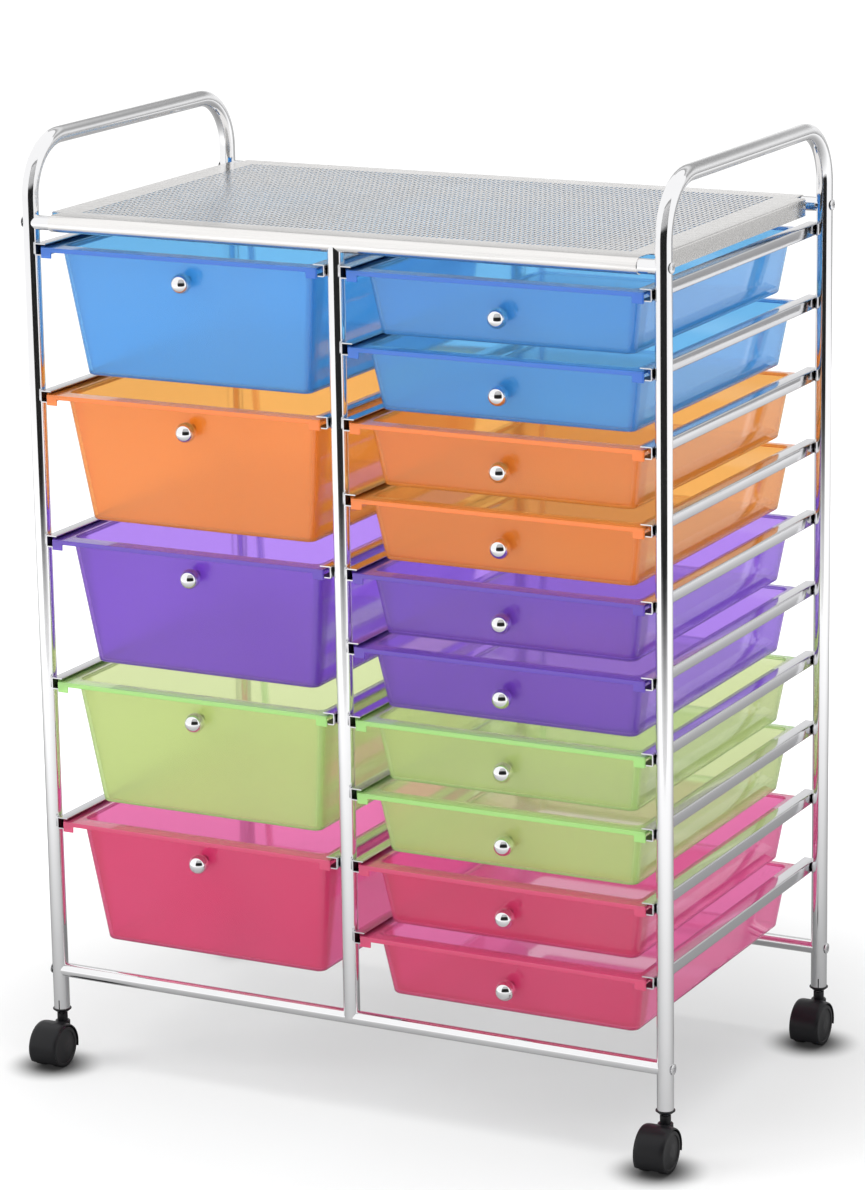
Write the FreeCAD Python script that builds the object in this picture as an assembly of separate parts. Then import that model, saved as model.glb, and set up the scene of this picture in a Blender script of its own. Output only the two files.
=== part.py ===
import FreeCAD, Part
import math
import os

# A rolling drawer cart: a chromed tube frame, large and small drawers and four twin-wheel casters.
# Millimetres, +Z up, the front faces -Y. The origin is on the floor, under the middle of the cart's box.

Vec = FreeCAD.Vector
os.makedirs("parts", exist_ok=True)

# Driving dimensions of the frame
OVERALL_WIDTH = 635.0
POST_D = 15.0
POST_WALL = 1.2
POST_SPAN_DEPTH = 352.0
POST_FOOT_Z = 51.5
BOTTOM_TUBE_Z = 89.5
TOP_TUBE_Z = 795.5
HANDLE_Z = 867.5
HANDLE_BEND_R = 52.0
CROSS_TUBE_D = 13.0
CROSS_TUBE_WALL = 1.0
SLIT_WIDTH = 1.0
SLIT_HEIGHT = 9.0
SLIT_TURN_DEG = 15.0

# Drawer rails, folded U channels
RAIL_HEIGHT = 11.0
RAIL_WIDTH = 11.0
RAIL_SHEET = 1.0
FIRST_RAIL_Z = 772.5
RAIL_PITCH = 67.1
SMALL_COUNT = 10
LARGE_COUNT = 5

# Top panel
PANEL_SHEET = 1.0
PANEL_HALF_WIDTH = 299.0
ROLL_HALF_WIDTH = 288.0
PANEL_SIDE_HALF_DEPTH = 158.0
PANEL_FLANGE = 16.0
ROLL_END_DEG = 290.0

# Frame screws and the inserts that they thread into
SCREW_R = 2.5
SCREW_HEAD_R = 5.0
SCREW_HEAD_TOP_R = 3.6
SCREW_HEAD_HEIGHT = 1.5
SCREW_HEAD_EDGE = 0.8
SCREW_HOLE_R = 2.7
INSERT_LENGTH = 20.0
FIT_GAP = 0.05
SCREW_RECESS_WIDTH = 1.1
SCREW_RECESS_LENGTH = 5.0
SCREW_RECESS_DEPTH = 1.0

# Drawers: heights are from the middle of the drawer's rails, depths from the axis of the front posts
RIM_TOP = 2.2
RIM_SHEET = 2.0
RIM_HALF_WIDTH = 145.5
RIM_FRONT = 0.0
RIM_REAR = 346.0
RIM_SKIRT_LOW = -4.2
LIP_FRONT = -9.2
LIP_SHEET = 1.5
LIP_HALF_WIDTH = 140.5
LIP_HEIGHT = 4.0
TAB_WIDTH = 10.5
TAB_HEIGHT = 9.5
TUB_HALF_WIDTH = 130.0
TUB_FRONT = 5.5
TUB_REAR = 341.0
TUB_WALL = 2.0
TUB_FLOOR = 2.2
TUB_CORNER = 6.0
LARGE_TUB = {"height": 119.5, "taper": 15.0, "knob_drop": 24.0}
SMALL_TUB = {"height": 58.5, "taper": 9.0, "knob_drop": 33.0}

# Knobs
KNOB_BALL_R = 9.2
KNOB_REACH = 10.4
KNOB_NECK_R = 3.8
KNOB_SCREW_R = 2.0
KNOB_SCREW_DEPTH = 9.0
KNOB_SCREW_HEAD_R = 4.0
KNOB_SCREW_HEAD_TOP_R = 2.8
KNOB_SCREW_HEAD_HEIGHT = 2.4
KNOB_SCREW_HEAD_EDGE = 1.2

# Casters: y and z are from the swivel axis and the floor, and the wheels trail towards the front
CASTER_TRAIL = 17.0
WHEEL_R = 19.5
WHEEL_INNER_X = 4.4
WHEEL_OUTER_X = 13.7
WHEEL_EDGE = 1.2
WHEEL_FACE_R = 16.0
WHEEL_FACE_DEPTH = 0.8
AXLE_R = 3.0
AXLE_HALF = 12.2
AXLE_END_ROOM = 0.2
AXLE_HUB_R = 7.2
HOOD_R = 22.2
HOOD_SHEET = 2.0
HOOD_HALF_WIDTH = 14.3
HOOD_REAR_DEG = -14.0
HOOD_FRONT_DEG = 213.0
HOOD_WEDGE_SIDES = 4
WEB_HALF = 3.7
BOSS_R = 7.0
BOSS_LOW_Z = 28.0
BOSS_TOP_Z = 39.0
NECK_R = 4.9
NECK_TOP_Z = 46.4
STEM_R = 3.0
STEM_LOW_Z = 33.0
STEM_TOP_Z = 76.0
COLLAR_LOW_Z = 47.6
COLLAR_R = 8.8
COLLAR_LOW_R = 5.4
COLLAR_EDGE_Z = 50.0
SOCKET_TOP_Z = 80.0

# Sizes worked out from these
POST_R = POST_D / 2
POST_X = OVERALL_WIDTH / 2 - POST_R
CROSS_R = CROSS_TUBE_D / 2
ROLL_R = CROSS_R + PANEL_SHEET
FRONT_REACH = POST_SPAN_DEPTH / 2 + CASTER_TRAIL + HOOD_R
REAR_REACH = POST_SPAN_DEPTH / 2 + POST_R
MIDDLE_Y = (FRONT_REACH - REAR_REACH) / 2
FRONT_Y = MIDDLE_Y - POST_SPAN_DEPTH / 2
REAR_Y = MIDDLE_Y + POST_SPAN_DEPTH / 2
BAY_X = POST_X / 2
LARGE_STEP = SMALL_COUNT // LARGE_COUNT
X_AXIS = Vec(1, 0, 0)
Y_AXIS = Vec(0, 1, 0)
Z_AXIS = Vec(0, 0, 1)


def save(name, *solids):
    """Write one node: a single solid, or several separate solids of the same kind."""
    shape = solids[0] if len(solids) == 1 else Part.makeCompound(list(solids))
    shape.exportStep("parts/" + name + ".step")
    print(name, len(shape.Solids), "solid(s), volume", round(shape.Volume))


def block(low, high):
    size = [b - a for a, b in zip(low, high)]
    return Part.makeBox(size[0], size[1], size[2], Vec(*low))


def rod(radius, start, end):
    start = Vec(*start)
    run = Vec(*end) - start
    return Part.makeCylinder(radius, run.Length, start, run)


def fuse(first, *others):
    return first.fuse(list(others)).removeSplitter()


def spun(profile, axis=Z_AXIS):
    """Turn a closed (radius, height) outline about Z, then lay its axis along the one given."""
    points = [Vec(r, 0, h) for r, h in profile]
    face = Part.Face(Part.makePolygon(points + points[:1]))
    solid = face.revolve(Vec(0, 0, 0), Z_AXIS, 360)
    solid.Placement = FreeCAD.Placement(Vec(0, 0, 0), FreeCAD.Rotation(Z_AXIS, axis))
    return solid


def rail_z(level):
    return FIRST_RAIL_Z - level * RAIL_PITCH


# Side frames

def bent_tube(x, radius):
    """A solid round bar along one side: up the front post, back along the handle, down the rear post."""
    bend = HANDLE_BEND_R
    low, high = HANDLE_Z - bend, HANDLE_Z
    diagonal = bend * math.sqrt(0.5)
    front_mid = Vec(x, FRONT_Y + bend - diagonal, low + diagonal)
    rear_mid = Vec(x, REAR_Y - bend + diagonal, low + diagonal)
    corners = [Vec(x, FRONT_Y, POST_FOOT_Z), Vec(x, FRONT_Y, low), Vec(x, FRONT_Y + bend, high),
               Vec(x, REAR_Y - bend, high), Vec(x, REAR_Y, low), Vec(x, REAR_Y, POST_FOOT_Z)]
    path = Part.Wire([
        Part.LineSegment(corners[0], corners[1]).toShape(),
        Part.Arc(corners[1], front_mid, corners[2]).toShape(),
        Part.LineSegment(corners[2], corners[3]).toShape(),
        Part.Arc(corners[3], rear_mid, corners[4]).toShape(),
        Part.LineSegment(corners[4], corners[5]).toShape()])
    ring = Part.Wire(Part.makeCircle(radius, corners[0], Z_AXIS))
    return path.makePipeShell([ring], True, False)


def slit(x, y):
    """The cut that runs up from a post's lower end."""
    cutter = block((-SLIT_WIDTH / 2, -POST_D, POST_FOOT_Z), (SLIT_WIDTH / 2, 0, POST_FOOT_Z + SLIT_HEIGHT))
    cutter.rotate(Vec(0, 0, 0), Z_AXIS, SLIT_TURN_DEG)
    cutter.translate(Vec(x, y, 0))
    return cutter


def side_frame(side, slit_y):
    x = side * POST_X
    tube = bent_tube(x, POST_R).cut(bent_tube(x, POST_R - POST_WALL))
    holes = [rod(SCREW_HOLE_R, (x - POST_D, y, z), (x + POST_D, y, z))
             for y in (FRONT_Y, REAR_Y) for z in (BOTTOM_TUBE_Z, TOP_TUBE_Z)]
    return tube.cut(holes + [slit(x, slit_y)])


save("left_side_frame", side_frame(-1, FRONT_Y))
save("right_side_frame", side_frame(1, REAR_Y))


# Cross tubes, their inserts and screws

def cross_tube(y, z):
    """A tube from post to post, its ends coped to the posts."""
    tube = rod(CROSS_R, (-POST_X, y, z), (POST_X, y, z))
    bore = rod(CROSS_R - CROSS_TUBE_WALL, (-POST_X, y, z), (POST_X, y, z))
    posts = [rod(POST_R, (x, y, z - POST_D), (x, y, z + POST_D)) for x in (-POST_X, POST_X)]
    return tube.cut([bore] + posts)


def insert(side, y, z):
    outer = side * (POST_X - POST_R)
    inner = outer - side * INSERT_LENGTH
    plug = rod(CROSS_R - CROSS_TUBE_WALL - FIT_GAP, (inner, y, z), (outer, y, z))
    return plug.cut(rod(SCREW_R + FIT_GAP, (inner, y, z), (outer, y, z)))


def frame_screw(side, y, z):
    seat = side * (POST_X + POST_R)
    head = spun([(0, 0), (SCREW_HEAD_R, 0), (SCREW_HEAD_R, SCREW_HEAD_EDGE),
                 (SCREW_HEAD_TOP_R, SCREW_HEAD_HEIGHT), (0, SCREW_HEAD_HEIGHT)], Vec(side, 0, 0))
    head.translate(Vec(seat, y, z))
    tip = side * (POST_X - POST_R - INSERT_LENGTH)
    screw = fuse(head, rod(SCREW_R, (tip, y, z), (seat, y, z)))
    face = seat + side * SCREW_HEAD_HEIGHT
    floor = face - side * SCREW_RECESS_DEPTH
    low_x, high_x = sorted((face, floor))
    half, wide = SCREW_RECESS_LENGTH / 2, SCREW_RECESS_WIDTH / 2
    upright = block((low_x, y - wide, z - half), (high_x, y + wide, z + half))
    level = block((low_x, y - half, z - wide), (high_x, y + half, z + wide))
    return screw.cut([upright, level])


corners = [(side, y, z) for side in (-1, 1) for y in (FRONT_Y, REAR_Y) for z in (BOTTOM_TUBE_Z, TOP_TUBE_Z)]
save("bottom_front_tube", cross_tube(FRONT_Y, BOTTOM_TUBE_Z))
save("bottom_rear_tube", cross_tube(REAR_Y, BOTTOM_TUBE_Z))
save("top_front_tube", cross_tube(FRONT_Y, TOP_TUBE_Z))
save("top_rear_tube", cross_tube(REAR_Y, TOP_TUBE_Z))
save("tube_inserts", *[insert(*corner) for corner in corners])
save("frame_screws", *[frame_screw(*corner) for corner in corners])


# Centre posts, between the bottom tubes and the rolled edges of the panel

def centre_post(y):
    ends = ((0, y, BOTTOM_TUBE_Z), (0, y, TOP_TUBE_Z))
    post = rod(POST_R, *ends).cut(rod(POST_R - POST_WALL, *ends))
    saddles = [rod(CROSS_R, (-POST_D, y, BOTTOM_TUBE_Z), (POST_D, y, BOTTOM_TUBE_Z)),
               rod(ROLL_R, (-POST_D, y, TOP_TUBE_Z), (POST_D, y, TOP_TUBE_Z))]
    return post.cut(saddles)


save("centre_posts", centre_post(FRONT_Y), centre_post(REAR_Y))


# Drawer rails

def rail(web_x, opens, level):
    """A U channel whose web lies on the posts at web_x and which opens towards +X or -X."""
    y0, y1 = FRONT_Y - POST_R, REAR_Y + POST_R
    z = rail_z(level)
    low_x, high_x = sorted((web_x, web_x + opens * RAIL_WIDTH))
    channel = block((low_x, y0, z - RAIL_HEIGHT / 2), (high_x, y1, z + RAIL_HEIGHT / 2))
    room_x = sorted((web_x + opens * RAIL_SHEET, web_x + opens * (RAIL_WIDTH + RAIL_SHEET)))
    room_z = RAIL_HEIGHT / 2 - RAIL_SHEET
    return channel.cut(block((room_x[0], y0, z - room_z), (room_x[1], y1, z + room_z)))


large_levels = range(0, SMALL_COUNT, LARGE_STEP)
small_levels = range(SMALL_COUNT)
save("left_rails", *[rail(POST_R - POST_X, 1, level) for level in large_levels])
save("centre_rails", *[rail(-POST_R, -1, level) for level in large_levels],
     *[rail(POST_R, 1, level) for level in small_levels])
save("right_rails", *[rail(POST_X - POST_R, -1, level) for level in small_levels])


# Top panel

def rolled_edge(y, front):
    """The sheet's edge, curled over its tube from the top round the outside to underneath."""
    ends = ((-ROLL_HALF_WIDTH, 0, 0), (ROLL_HALF_WIDTH, 0, 0))
    ring = rod(ROLL_R, *ends).cut(rod(CROSS_R, *ends))
    far = 2 * ROLL_R
    end_angle = math.radians(ROLL_END_DEG)
    curl_end = (far * math.cos(end_angle), far * math.sin(end_angle))
    open_side = [(0, 0), curl_end, (far, -far), (far, far), (0, far)]
    points = [Vec(-POST_X, py, pz) for py, pz in open_side]
    curl = ring.cut(Part.Face(Part.makePolygon(points + points[:1])).extrude(Vec(2 * POST_X, 0, 0)))
    if not front:
        curl.rotate(Vec(0, 0, 0), Z_AXIS, 180)
    curl.translate(Vec(0, y, TOP_TUBE_Z))
    return curl


def top_panel():
    top = TOP_TUBE_Z + ROLL_R
    low = top - PANEL_SHEET
    half = PANEL_SIDE_HALF_DEPTH
    sheet = block((-ROLL_HALF_WIDTH, FRONT_Y, low), (ROLL_HALF_WIDTH, REAR_Y, top))
    sides = block((-PANEL_HALF_WIDTH, MIDDLE_Y - half, low), (PANEL_HALF_WIDTH, MIDDLE_Y + half, top))
    flanges = [block((x, MIDDLE_Y - half, top - PANEL_FLANGE), (x + PANEL_SHEET, MIDDLE_Y + half, top))
               for x in (-PANEL_HALF_WIDTH, PANEL_HALF_WIDTH - PANEL_SHEET)]
    return fuse(sheet, sides, rolled_edge(FRONT_Y, True), rolled_edge(REAR_Y, False), *flanges)


save("top_panel", top_panel())


# Drawers

def tapered(half_width, front, rear, top, low, taper, corner):
    """A flat-faced tub shape: an oblong with cut corners that narrows evenly towards its floor."""
    def outline(z, inset):
        x = half_width - inset
        y0, y1 = front + inset, rear - inset
        right = [(x - corner, y0), (x, y0 + corner), (x, y1 - corner), (x - corner, y1)]
        left = [(-px, py) for px, py in reversed(right)]
        return [Vec(px, py, z) for px, py in right + left]
    upper, lower = outline(top, 0), outline(low, taper)
    count = len(upper)
    loops = [upper, lower]
    for i in range(count):
        j = (i + 1) % count
        loops.append([upper[i], upper[j], lower[j], lower[i]])
    faces = [Part.Face(Part.makePolygon(loop + loop[:1])) for loop in loops]
    return Part.Solid(Part.makeShell(faces))


def drawer_tub(kind):
    """A tub at the origin of its rails: rim in the rails, front lip with its two stop tabs."""
    low = RIM_TOP - kind["height"]
    slope = kind["taper"] / kind["height"]
    outer = tapered(TUB_HALF_WIDTH, TUB_FRONT, TUB_REAR, RIM_TOP, low, kind["taper"], TUB_CORNER)
    floor_z = low + TUB_FLOOR
    above = RIM_TOP + RIM_SHEET
    wall = TUB_WALL - slope * RIM_SHEET
    room = tapered(TUB_HALF_WIDTH - wall, TUB_FRONT + wall, TUB_REAR - wall, above, floor_z,
                   slope * (above - floor_z), TUB_CORNER - TUB_WALL / 2)
    under = RIM_TOP - RIM_SHEET
    flange = block((-RIM_HALF_WIDTH, RIM_FRONT, under), (RIM_HALF_WIDTH, RIM_REAR, RIM_TOP))
    shelf = block((-LIP_HALF_WIDTH, LIP_FRONT, under), (LIP_HALF_WIDTH, RIM_FRONT, RIM_TOP))
    lip = block((-LIP_HALF_WIDTH, LIP_FRONT, RIM_TOP - LIP_HEIGHT),
                (LIP_HALF_WIDTH, LIP_FRONT + LIP_SHEET, RIM_TOP))
    rear_lip = block((-RIM_HALF_WIDTH, RIM_REAR - RIM_SHEET, RIM_TOP - LIP_HEIGHT),
                     (RIM_HALF_WIDTH, RIM_REAR, RIM_TOP))
    pieces = [flange, shelf, lip, rear_lip]
    for side in (-1, 1):
        skirt_x = sorted((side * RIM_HALF_WIDTH, side * (RIM_HALF_WIDTH - RIM_SHEET)))
        pieces.append(block((skirt_x[0], RIM_FRONT, RIM_SKIRT_LOW), (skirt_x[1], RIM_REAR, RIM_TOP)))
        tab_x = sorted((side * LIP_HALF_WIDTH, side * (LIP_HALF_WIDTH - TAB_WIDTH)))
        pieces.append(block((tab_x[0], LIP_FRONT, RIM_TOP - TAB_HEIGHT),
                            (tab_x[1], LIP_FRONT + LIP_SHEET, RIM_TOP)))
    tub = fuse(outer, *pieces).cut(room)
    seat, tilt = knob_seat(kind)
    hole = rod(KNOB_SCREW_R + FIT_GAP, (0, -TUB_WALL, 0), (0, 2 * TUB_WALL, 0))
    return tub.cut(set_on_front(hole, seat, tilt))


def knob_seat(kind):
    """Where the knob's axis meets the front wall's outer face, and the wall's lean in degrees."""
    slope = kind["taper"] / kind["height"]
    seat = Vec(0, TUB_FRONT + slope * kind["knob_drop"], RIM_TOP - kind["knob_drop"])
    return seat, math.degrees(math.atan(slope))


def set_on_front(shape, seat, tilt):
    """Lean a shape that was made about -Y, with its seat at the origin, onto the front wall."""
    shape.rotate(Vec(0, 0, 0), X_AXIS, tilt)
    shape.translate(seat)
    return shape


def ball_knob(kind):
    seat, tilt = knob_seat(kind)
    ball = Part.makeSphere(KNOB_BALL_R, Vec(0, -KNOB_REACH, 0))
    neck = rod(KNOB_NECK_R, (0, 0, 0), (0, -KNOB_REACH, 0))
    hole = rod(KNOB_SCREW_R + FIT_GAP, (0, 0, 0), (0, -KNOB_SCREW_DEPTH, 0))
    return set_on_front(fuse(ball, neck).cut(hole), seat, tilt)


def knob_screw(kind):
    seat, tilt = knob_seat(kind)
    wall = TUB_WALL * math.cos(math.radians(tilt))
    shank = rod(KNOB_SCREW_R, (0, wall, 0), (0, -KNOB_SCREW_DEPTH + FIT_GAP, 0))
    head = spun([(0, 0), (KNOB_SCREW_HEAD_R, 0), (KNOB_SCREW_HEAD_R, KNOB_SCREW_HEAD_EDGE),
                 (KNOB_SCREW_HEAD_TOP_R, KNOB_SCREW_HEAD_HEIGHT), (0, KNOB_SCREW_HEAD_HEIGHT)], Y_AXIS)
    head.translate(Vec(0, wall, 0))
    return set_on_front(fuse(head, shank), seat, tilt)


def save_drawers(name, kind, bay_x, levels):
    tub = drawer_tub(kind)
    knob, screw = ball_knob(kind), knob_screw(kind)
    for number, level in enumerate(levels, 1):
        place = Vec(bay_x, FRONT_Y, rail_z(level))
        save("%s_drawer_%d" % (name, number), tub.translated(place))
        save("%s_knob_%d" % (name, number), knob.translated(place), screw.translated(place))


save_drawers("left", LARGE_TUB, -BAY_X, large_levels)
save_drawers("right", SMALL_TUB, BAY_X, small_levels)


# Casters, made about a swivel axis at x = y = 0

def axle_line(radius, half):
    """A round bar along the wheels' axle."""
    return rod(radius, (-half, -CASTER_TRAIL, WHEEL_R), (half, -CASTER_TRAIL, WHEEL_R))


def hood_sector(radius, half):
    """A solid wedge of a round bar about the axle, over the arc that the hood covers."""
    first, last = math.radians(HOOD_REAR_DEG), math.radians(HOOD_FRONT_DEG)
    far = 2 * radius

    def at(angle, distance):
        return Vec(-half, -CASTER_TRAIL + distance * math.cos(angle), WHEEL_R + distance * math.sin(angle))
    step = (last - first) / HOOD_WEDGE_SIDES
    fan = [at(first, 0)] + [at(first + i * step, far) for i in range(HOOD_WEDGE_SIDES + 1)]
    wedge = Part.Face(Part.makePolygon(fan + fan[:1])).extrude(Vec(2 * half, 0, 0))
    return axle_line(radius, half).common(wedge)


def caster_housing():
    inside = axle_line(HOOD_R - HOOD_SHEET, HOOD_HALF_WIDTH)
    hood = hood_sector(HOOD_R, HOOD_HALF_WIDTH).cut(inside)
    web = hood_sector(HOOD_R, WEB_HALF)
    hub = axle_line(AXLE_HUB_R, WEB_HALF)
    boss = rod(BOSS_R, (0, 0, BOSS_LOW_Z), (0, 0, BOSS_TOP_Z)).cut(inside)
    neck = rod(NECK_R, (0, 0, STEM_LOW_Z), (0, 0, NECK_TOP_Z))
    housing = fuse(hood, web, hub, boss, neck)
    bores = [axle_line(AXLE_R, HOOD_HALF_WIDTH), rod(STEM_R, (0, 0, STEM_LOW_Z), (0, 0, NECK_TOP_Z))]
    return housing.cut(bores)


def caster_wheel(side):
    """One wheel: rounded tread, a shallow ring in its outer face, a blind bore for the axle."""
    width = WHEEL_OUTER_X - WHEEL_INNER_X
    bore = AXLE_R + FIT_GAP
    blind = AXLE_HALF + AXLE_END_ROOM - WHEEL_INNER_X
    tread = [(WHEEL_R - WHEEL_EDGE, 0), (WHEEL_R, WHEEL_EDGE), (WHEEL_R, width - WHEEL_EDGE),
             (WHEEL_R - WHEEL_EDGE, width)]
    face = [(WHEEL_FACE_R, width), (WHEEL_FACE_R - WHEEL_FACE_DEPTH, width - WHEEL_FACE_DEPTH),
            (0, width - WHEEL_FACE_DEPTH / 2)]
    wheel = spun([(bore, 0)] + tread + face + [(0, blind), (bore, blind)], Vec(side, 0, 0))
    wheel.translate(Vec(side * WHEEL_INNER_X, -CASTER_TRAIL, WHEEL_R))
    return wheel


def caster_socket():
    bore = STEM_R + FIT_GAP
    plug = POST_R - POST_WALL - FIT_GAP
    return spun([(bore, COLLAR_LOW_Z), (COLLAR_LOW_R, COLLAR_LOW_Z), (COLLAR_R, COLLAR_EDGE_Z),
                 (COLLAR_R, POST_FOOT_Z), (plug, POST_FOOT_Z), (plug, SOCKET_TOP_Z), (bore, SOCKET_TOP_Z)])


housing = caster_housing()
stem = rod(STEM_R, (0, 0, STEM_LOW_Z), (0, 0, STEM_TOP_Z))
axle = axle_line(AXLE_R, AXLE_HALF)
wheels = [caster_wheel(-1), caster_wheel(1)]
feet = {"front_left": (-POST_X, FRONT_Y), "front_right": (POST_X, FRONT_Y),
        "rear_left": (-POST_X, REAR_Y), "rear_right": (POST_X, REAR_Y)}
for name, (x, y) in feet.items():
    place = Vec(x, y, 0)
    save(name + "_caster_housing", housing.translated(place))
    save(name + "_caster_stem", stem.translated(place))
    save(name + "_caster_axle", axle.translated(place))
    save(name + "_caster_wheels", *[wheel.translated(place) for wheel in wheels])
save("caster_sockets", *[caster_socket().translated(Vec(x, y, 0)) for x, y in feet.values()])
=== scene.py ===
# %% [markdown]
# # A rolling drawer cart
# The real cart is a frame of chromed tube. Thin folded rails are fixed to its posts, and translucent
# drawers hang in the rails by their rims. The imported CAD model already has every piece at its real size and
# place, so this lesson only dresses it: each step takes one kind of piece, reads its place from the frame,
# and builds the finished surface that stands for it. Everything is in metres, with +Z up and the front
# facing -Y.

# %% Load the frame
import bmesh
import bpy
import math
from mathutils import Matrix, Vector


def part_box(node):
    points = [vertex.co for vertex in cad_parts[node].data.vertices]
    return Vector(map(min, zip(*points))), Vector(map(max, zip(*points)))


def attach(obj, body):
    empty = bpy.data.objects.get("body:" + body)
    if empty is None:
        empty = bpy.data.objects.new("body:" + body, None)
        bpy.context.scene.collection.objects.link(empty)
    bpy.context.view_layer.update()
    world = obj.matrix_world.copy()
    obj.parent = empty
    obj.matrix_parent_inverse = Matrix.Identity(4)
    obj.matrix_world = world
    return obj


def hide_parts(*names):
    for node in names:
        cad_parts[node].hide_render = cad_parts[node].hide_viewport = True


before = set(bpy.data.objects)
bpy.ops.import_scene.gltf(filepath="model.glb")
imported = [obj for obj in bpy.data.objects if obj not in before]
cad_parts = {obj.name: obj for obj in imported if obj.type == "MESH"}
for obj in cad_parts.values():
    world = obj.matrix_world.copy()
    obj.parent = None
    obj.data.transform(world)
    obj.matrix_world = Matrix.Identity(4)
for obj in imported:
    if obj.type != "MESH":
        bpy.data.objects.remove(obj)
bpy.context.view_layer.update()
MM = 0.001

# %% [markdown]
# ## Sizes that the frame gives
# A dressed piece must sit exactly where its CAD piece is. Typing the places in again would let the two drift
# apart, so the boxes of a few nodes are measured once, and the rest of the lesson is worked out from them.

# %% Measure the frame
side_low, side_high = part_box("left_side_frame")
tube_low, tube_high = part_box("bottom_front_tube")
top_tube_low, top_tube_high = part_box("top_front_tube")
panel_low, panel_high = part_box("top_panel")
POST_R = (side_high.x - side_low.x) / 2
POST_X = -(side_low.x + side_high.x) / 2
FRONT_Y = side_low.y + POST_R
REAR_Y = side_high.y - POST_R
MIDDLE_Y = (FRONT_Y + REAR_Y) / 2
FOOT_Z = side_low.z
HANDLE_Z = side_high.z - POST_R
CROSS_R = (tube_high.z - tube_low.z) / 2
BOTTOM_Z = (tube_low.z + tube_high.z) / 2
TOP_Z = (top_tube_low.z + top_tube_high.z) / 2
LARGE = ["left_drawer_%d" % n for n in range(1, 6)]
SMALL = ["right_drawer_%d" % n for n in range(1, 11)]
FEET = {"front_left": (-POST_X, FRONT_Y), "front_right": (POST_X, FRONT_Y),
        "rear_left": (-POST_X, REAR_Y), "rear_right": (POST_X, REAR_Y)}
print("posts at x", round(POST_X, 4), "y", round(FRONT_Y, 4), round(REAR_Y, 4), "handle", round(HANDLE_Z, 4))

# %% [markdown]
# ## Helpers for node trees
# Materials and geometry trees are both graphs of nodes. One helper adds a node, sets its values and links
# its inputs by name, so that each finish below reads as a short recipe. Another runs a geometry tree on a
# mesh and keeps the result as a plain mesh, because only plain meshes are exported.

# %% Node helpers
def put(tree, value, socket):
    """Give a socket its value, or link it to the socket that gives one."""
    if isinstance(value, bpy.types.NodeSocket):
        tree.links.new(value, socket)
    else:
        socket.default_value = value


def add(tree, kind, settings=None, **inputs):
    """Add a node with its settings. Each input gets a value or a link."""
    node = tree.nodes.new(kind)
    for key, value in (settings or {}).items():
        setattr(node, key, value)
    for key, value in inputs.items():
        put(tree, value, node.inputs[key.replace("_", " ")])
    return node


def combined(tree, first, second, operation="MULTIPLY"):
    """The result of an operation on two numbers."""
    node = add(tree, "ShaderNodeMath", {"operation": operation})
    put(tree, first, node.inputs[0])
    put(tree, second, node.inputs[1])
    return node.outputs[0]


def ranged(tree, value, span=(0.0, 1.0), ends=(0.0, 1.0), way="LINEAR"):
    """Carry a value over from one span to another, in a straight line or with soft ends."""
    node = add(tree, "ShaderNodeMapRange", {"interpolation_type": way}, Value=value, From_Min=span[0],
               From_Max=span[1], To_Min=ends[0], To_Max=ends[1])
    return node.outputs["Result"]


def tinted(tree, factor, first, second):
    """Mix two colours by a factor. Each is a colour, or the socket that gives one."""
    mix = add(tree, "ShaderNodeMix", {"data_type": "RGBA"})
    put(tree, factor, mix.inputs[0])
    for socket, colour in ((mix.inputs[6], first), (mix.inputs[7], second)):
        put(tree, (*colour, 1) if isinstance(colour, tuple) else colour, socket)
    return mix.outputs[2]


def geometry_tree(name, **sockets):
    """A geometry tree with named inputs. Returns the tree and the node that gives those inputs."""
    tree = bpy.data.node_groups.new(name, "GeometryNodeTree")
    tree.interface.new_socket(name="Geometry", in_out="INPUT", socket_type="NodeSocketGeometry")
    for label, kind in sockets.items():
        tree.interface.new_socket(name=label, in_out="INPUT", socket_type="NodeSocket" + kind)
    tree.interface.new_socket(name="Geometry", in_out="OUTPUT", socket_type="NodeSocketGeometry")
    return tree, tree.nodes.new("NodeGroupInput")


def end_tree(tree, given, geometry):
    """Close a tree: its instances become real, smooth faces in the material that it is given."""
    real = add(tree, "GeometryNodeRealizeInstances", Geometry=geometry)
    smooth = add(tree, "GeometryNodeSetShadeSmooth", Geometry=real.outputs[0])
    painted = add(tree, "GeometryNodeSetMaterial", Geometry=smooth.outputs[0],
                  Material=given.outputs["Finish"])
    tree.links.new(painted.outputs[0], tree.nodes.new("NodeGroupOutput").inputs[0])


def evaluated(carrier):
    """The object's mesh with its modifiers applied, as a plain mesh. The object itself is removed."""
    graph = bpy.context.evaluated_depsgraph_get()
    mesh = bpy.data.meshes.new_from_object(carrier.evaluated_get(graph), depsgraph=graph)
    carrier.modifiers.clear()
    bpy.data.objects.remove(carrier)
    return mesh


def carried(mesh):
    """A temporary object that holds a mesh while modifiers work on it."""
    carrier = bpy.data.objects.new("carrier", mesh)
    bpy.context.scene.collection.objects.link(carrier)
    return carrier


def grown(tree, mesh, **values):
    """Run a geometry tree on a mesh. The inputs are set by the sockets' identifiers."""
    carrier = carried(mesh)
    modifier = carrier.modifiers.new(tree.name, "NODES")
    modifier.node_group = tree
    for item in tree.interface.items_tree:
        if item.in_out == "INPUT" and item.name in values:
            modifier[item.identifier] = values[item.name]
    return evaluated(carrier)


# %% [markdown]
# ## Helpers for meshes
# Most pieces are lofts: a row of outlines with the same number of points, joined by faces. A turned piece is
# the same thing with rings for outlines. Edges sharper than a given angle stay crisp, and the rest is shaded
# smooth.

# %% Mesh helpers
CRISP_DEG = 38.0


def mesh_of(vertices, faces):
    mesh = bpy.data.meshes.new("mesh")
    mesh.from_pydata([tuple(v) for v in vertices], [], faces)
    return mesh


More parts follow.
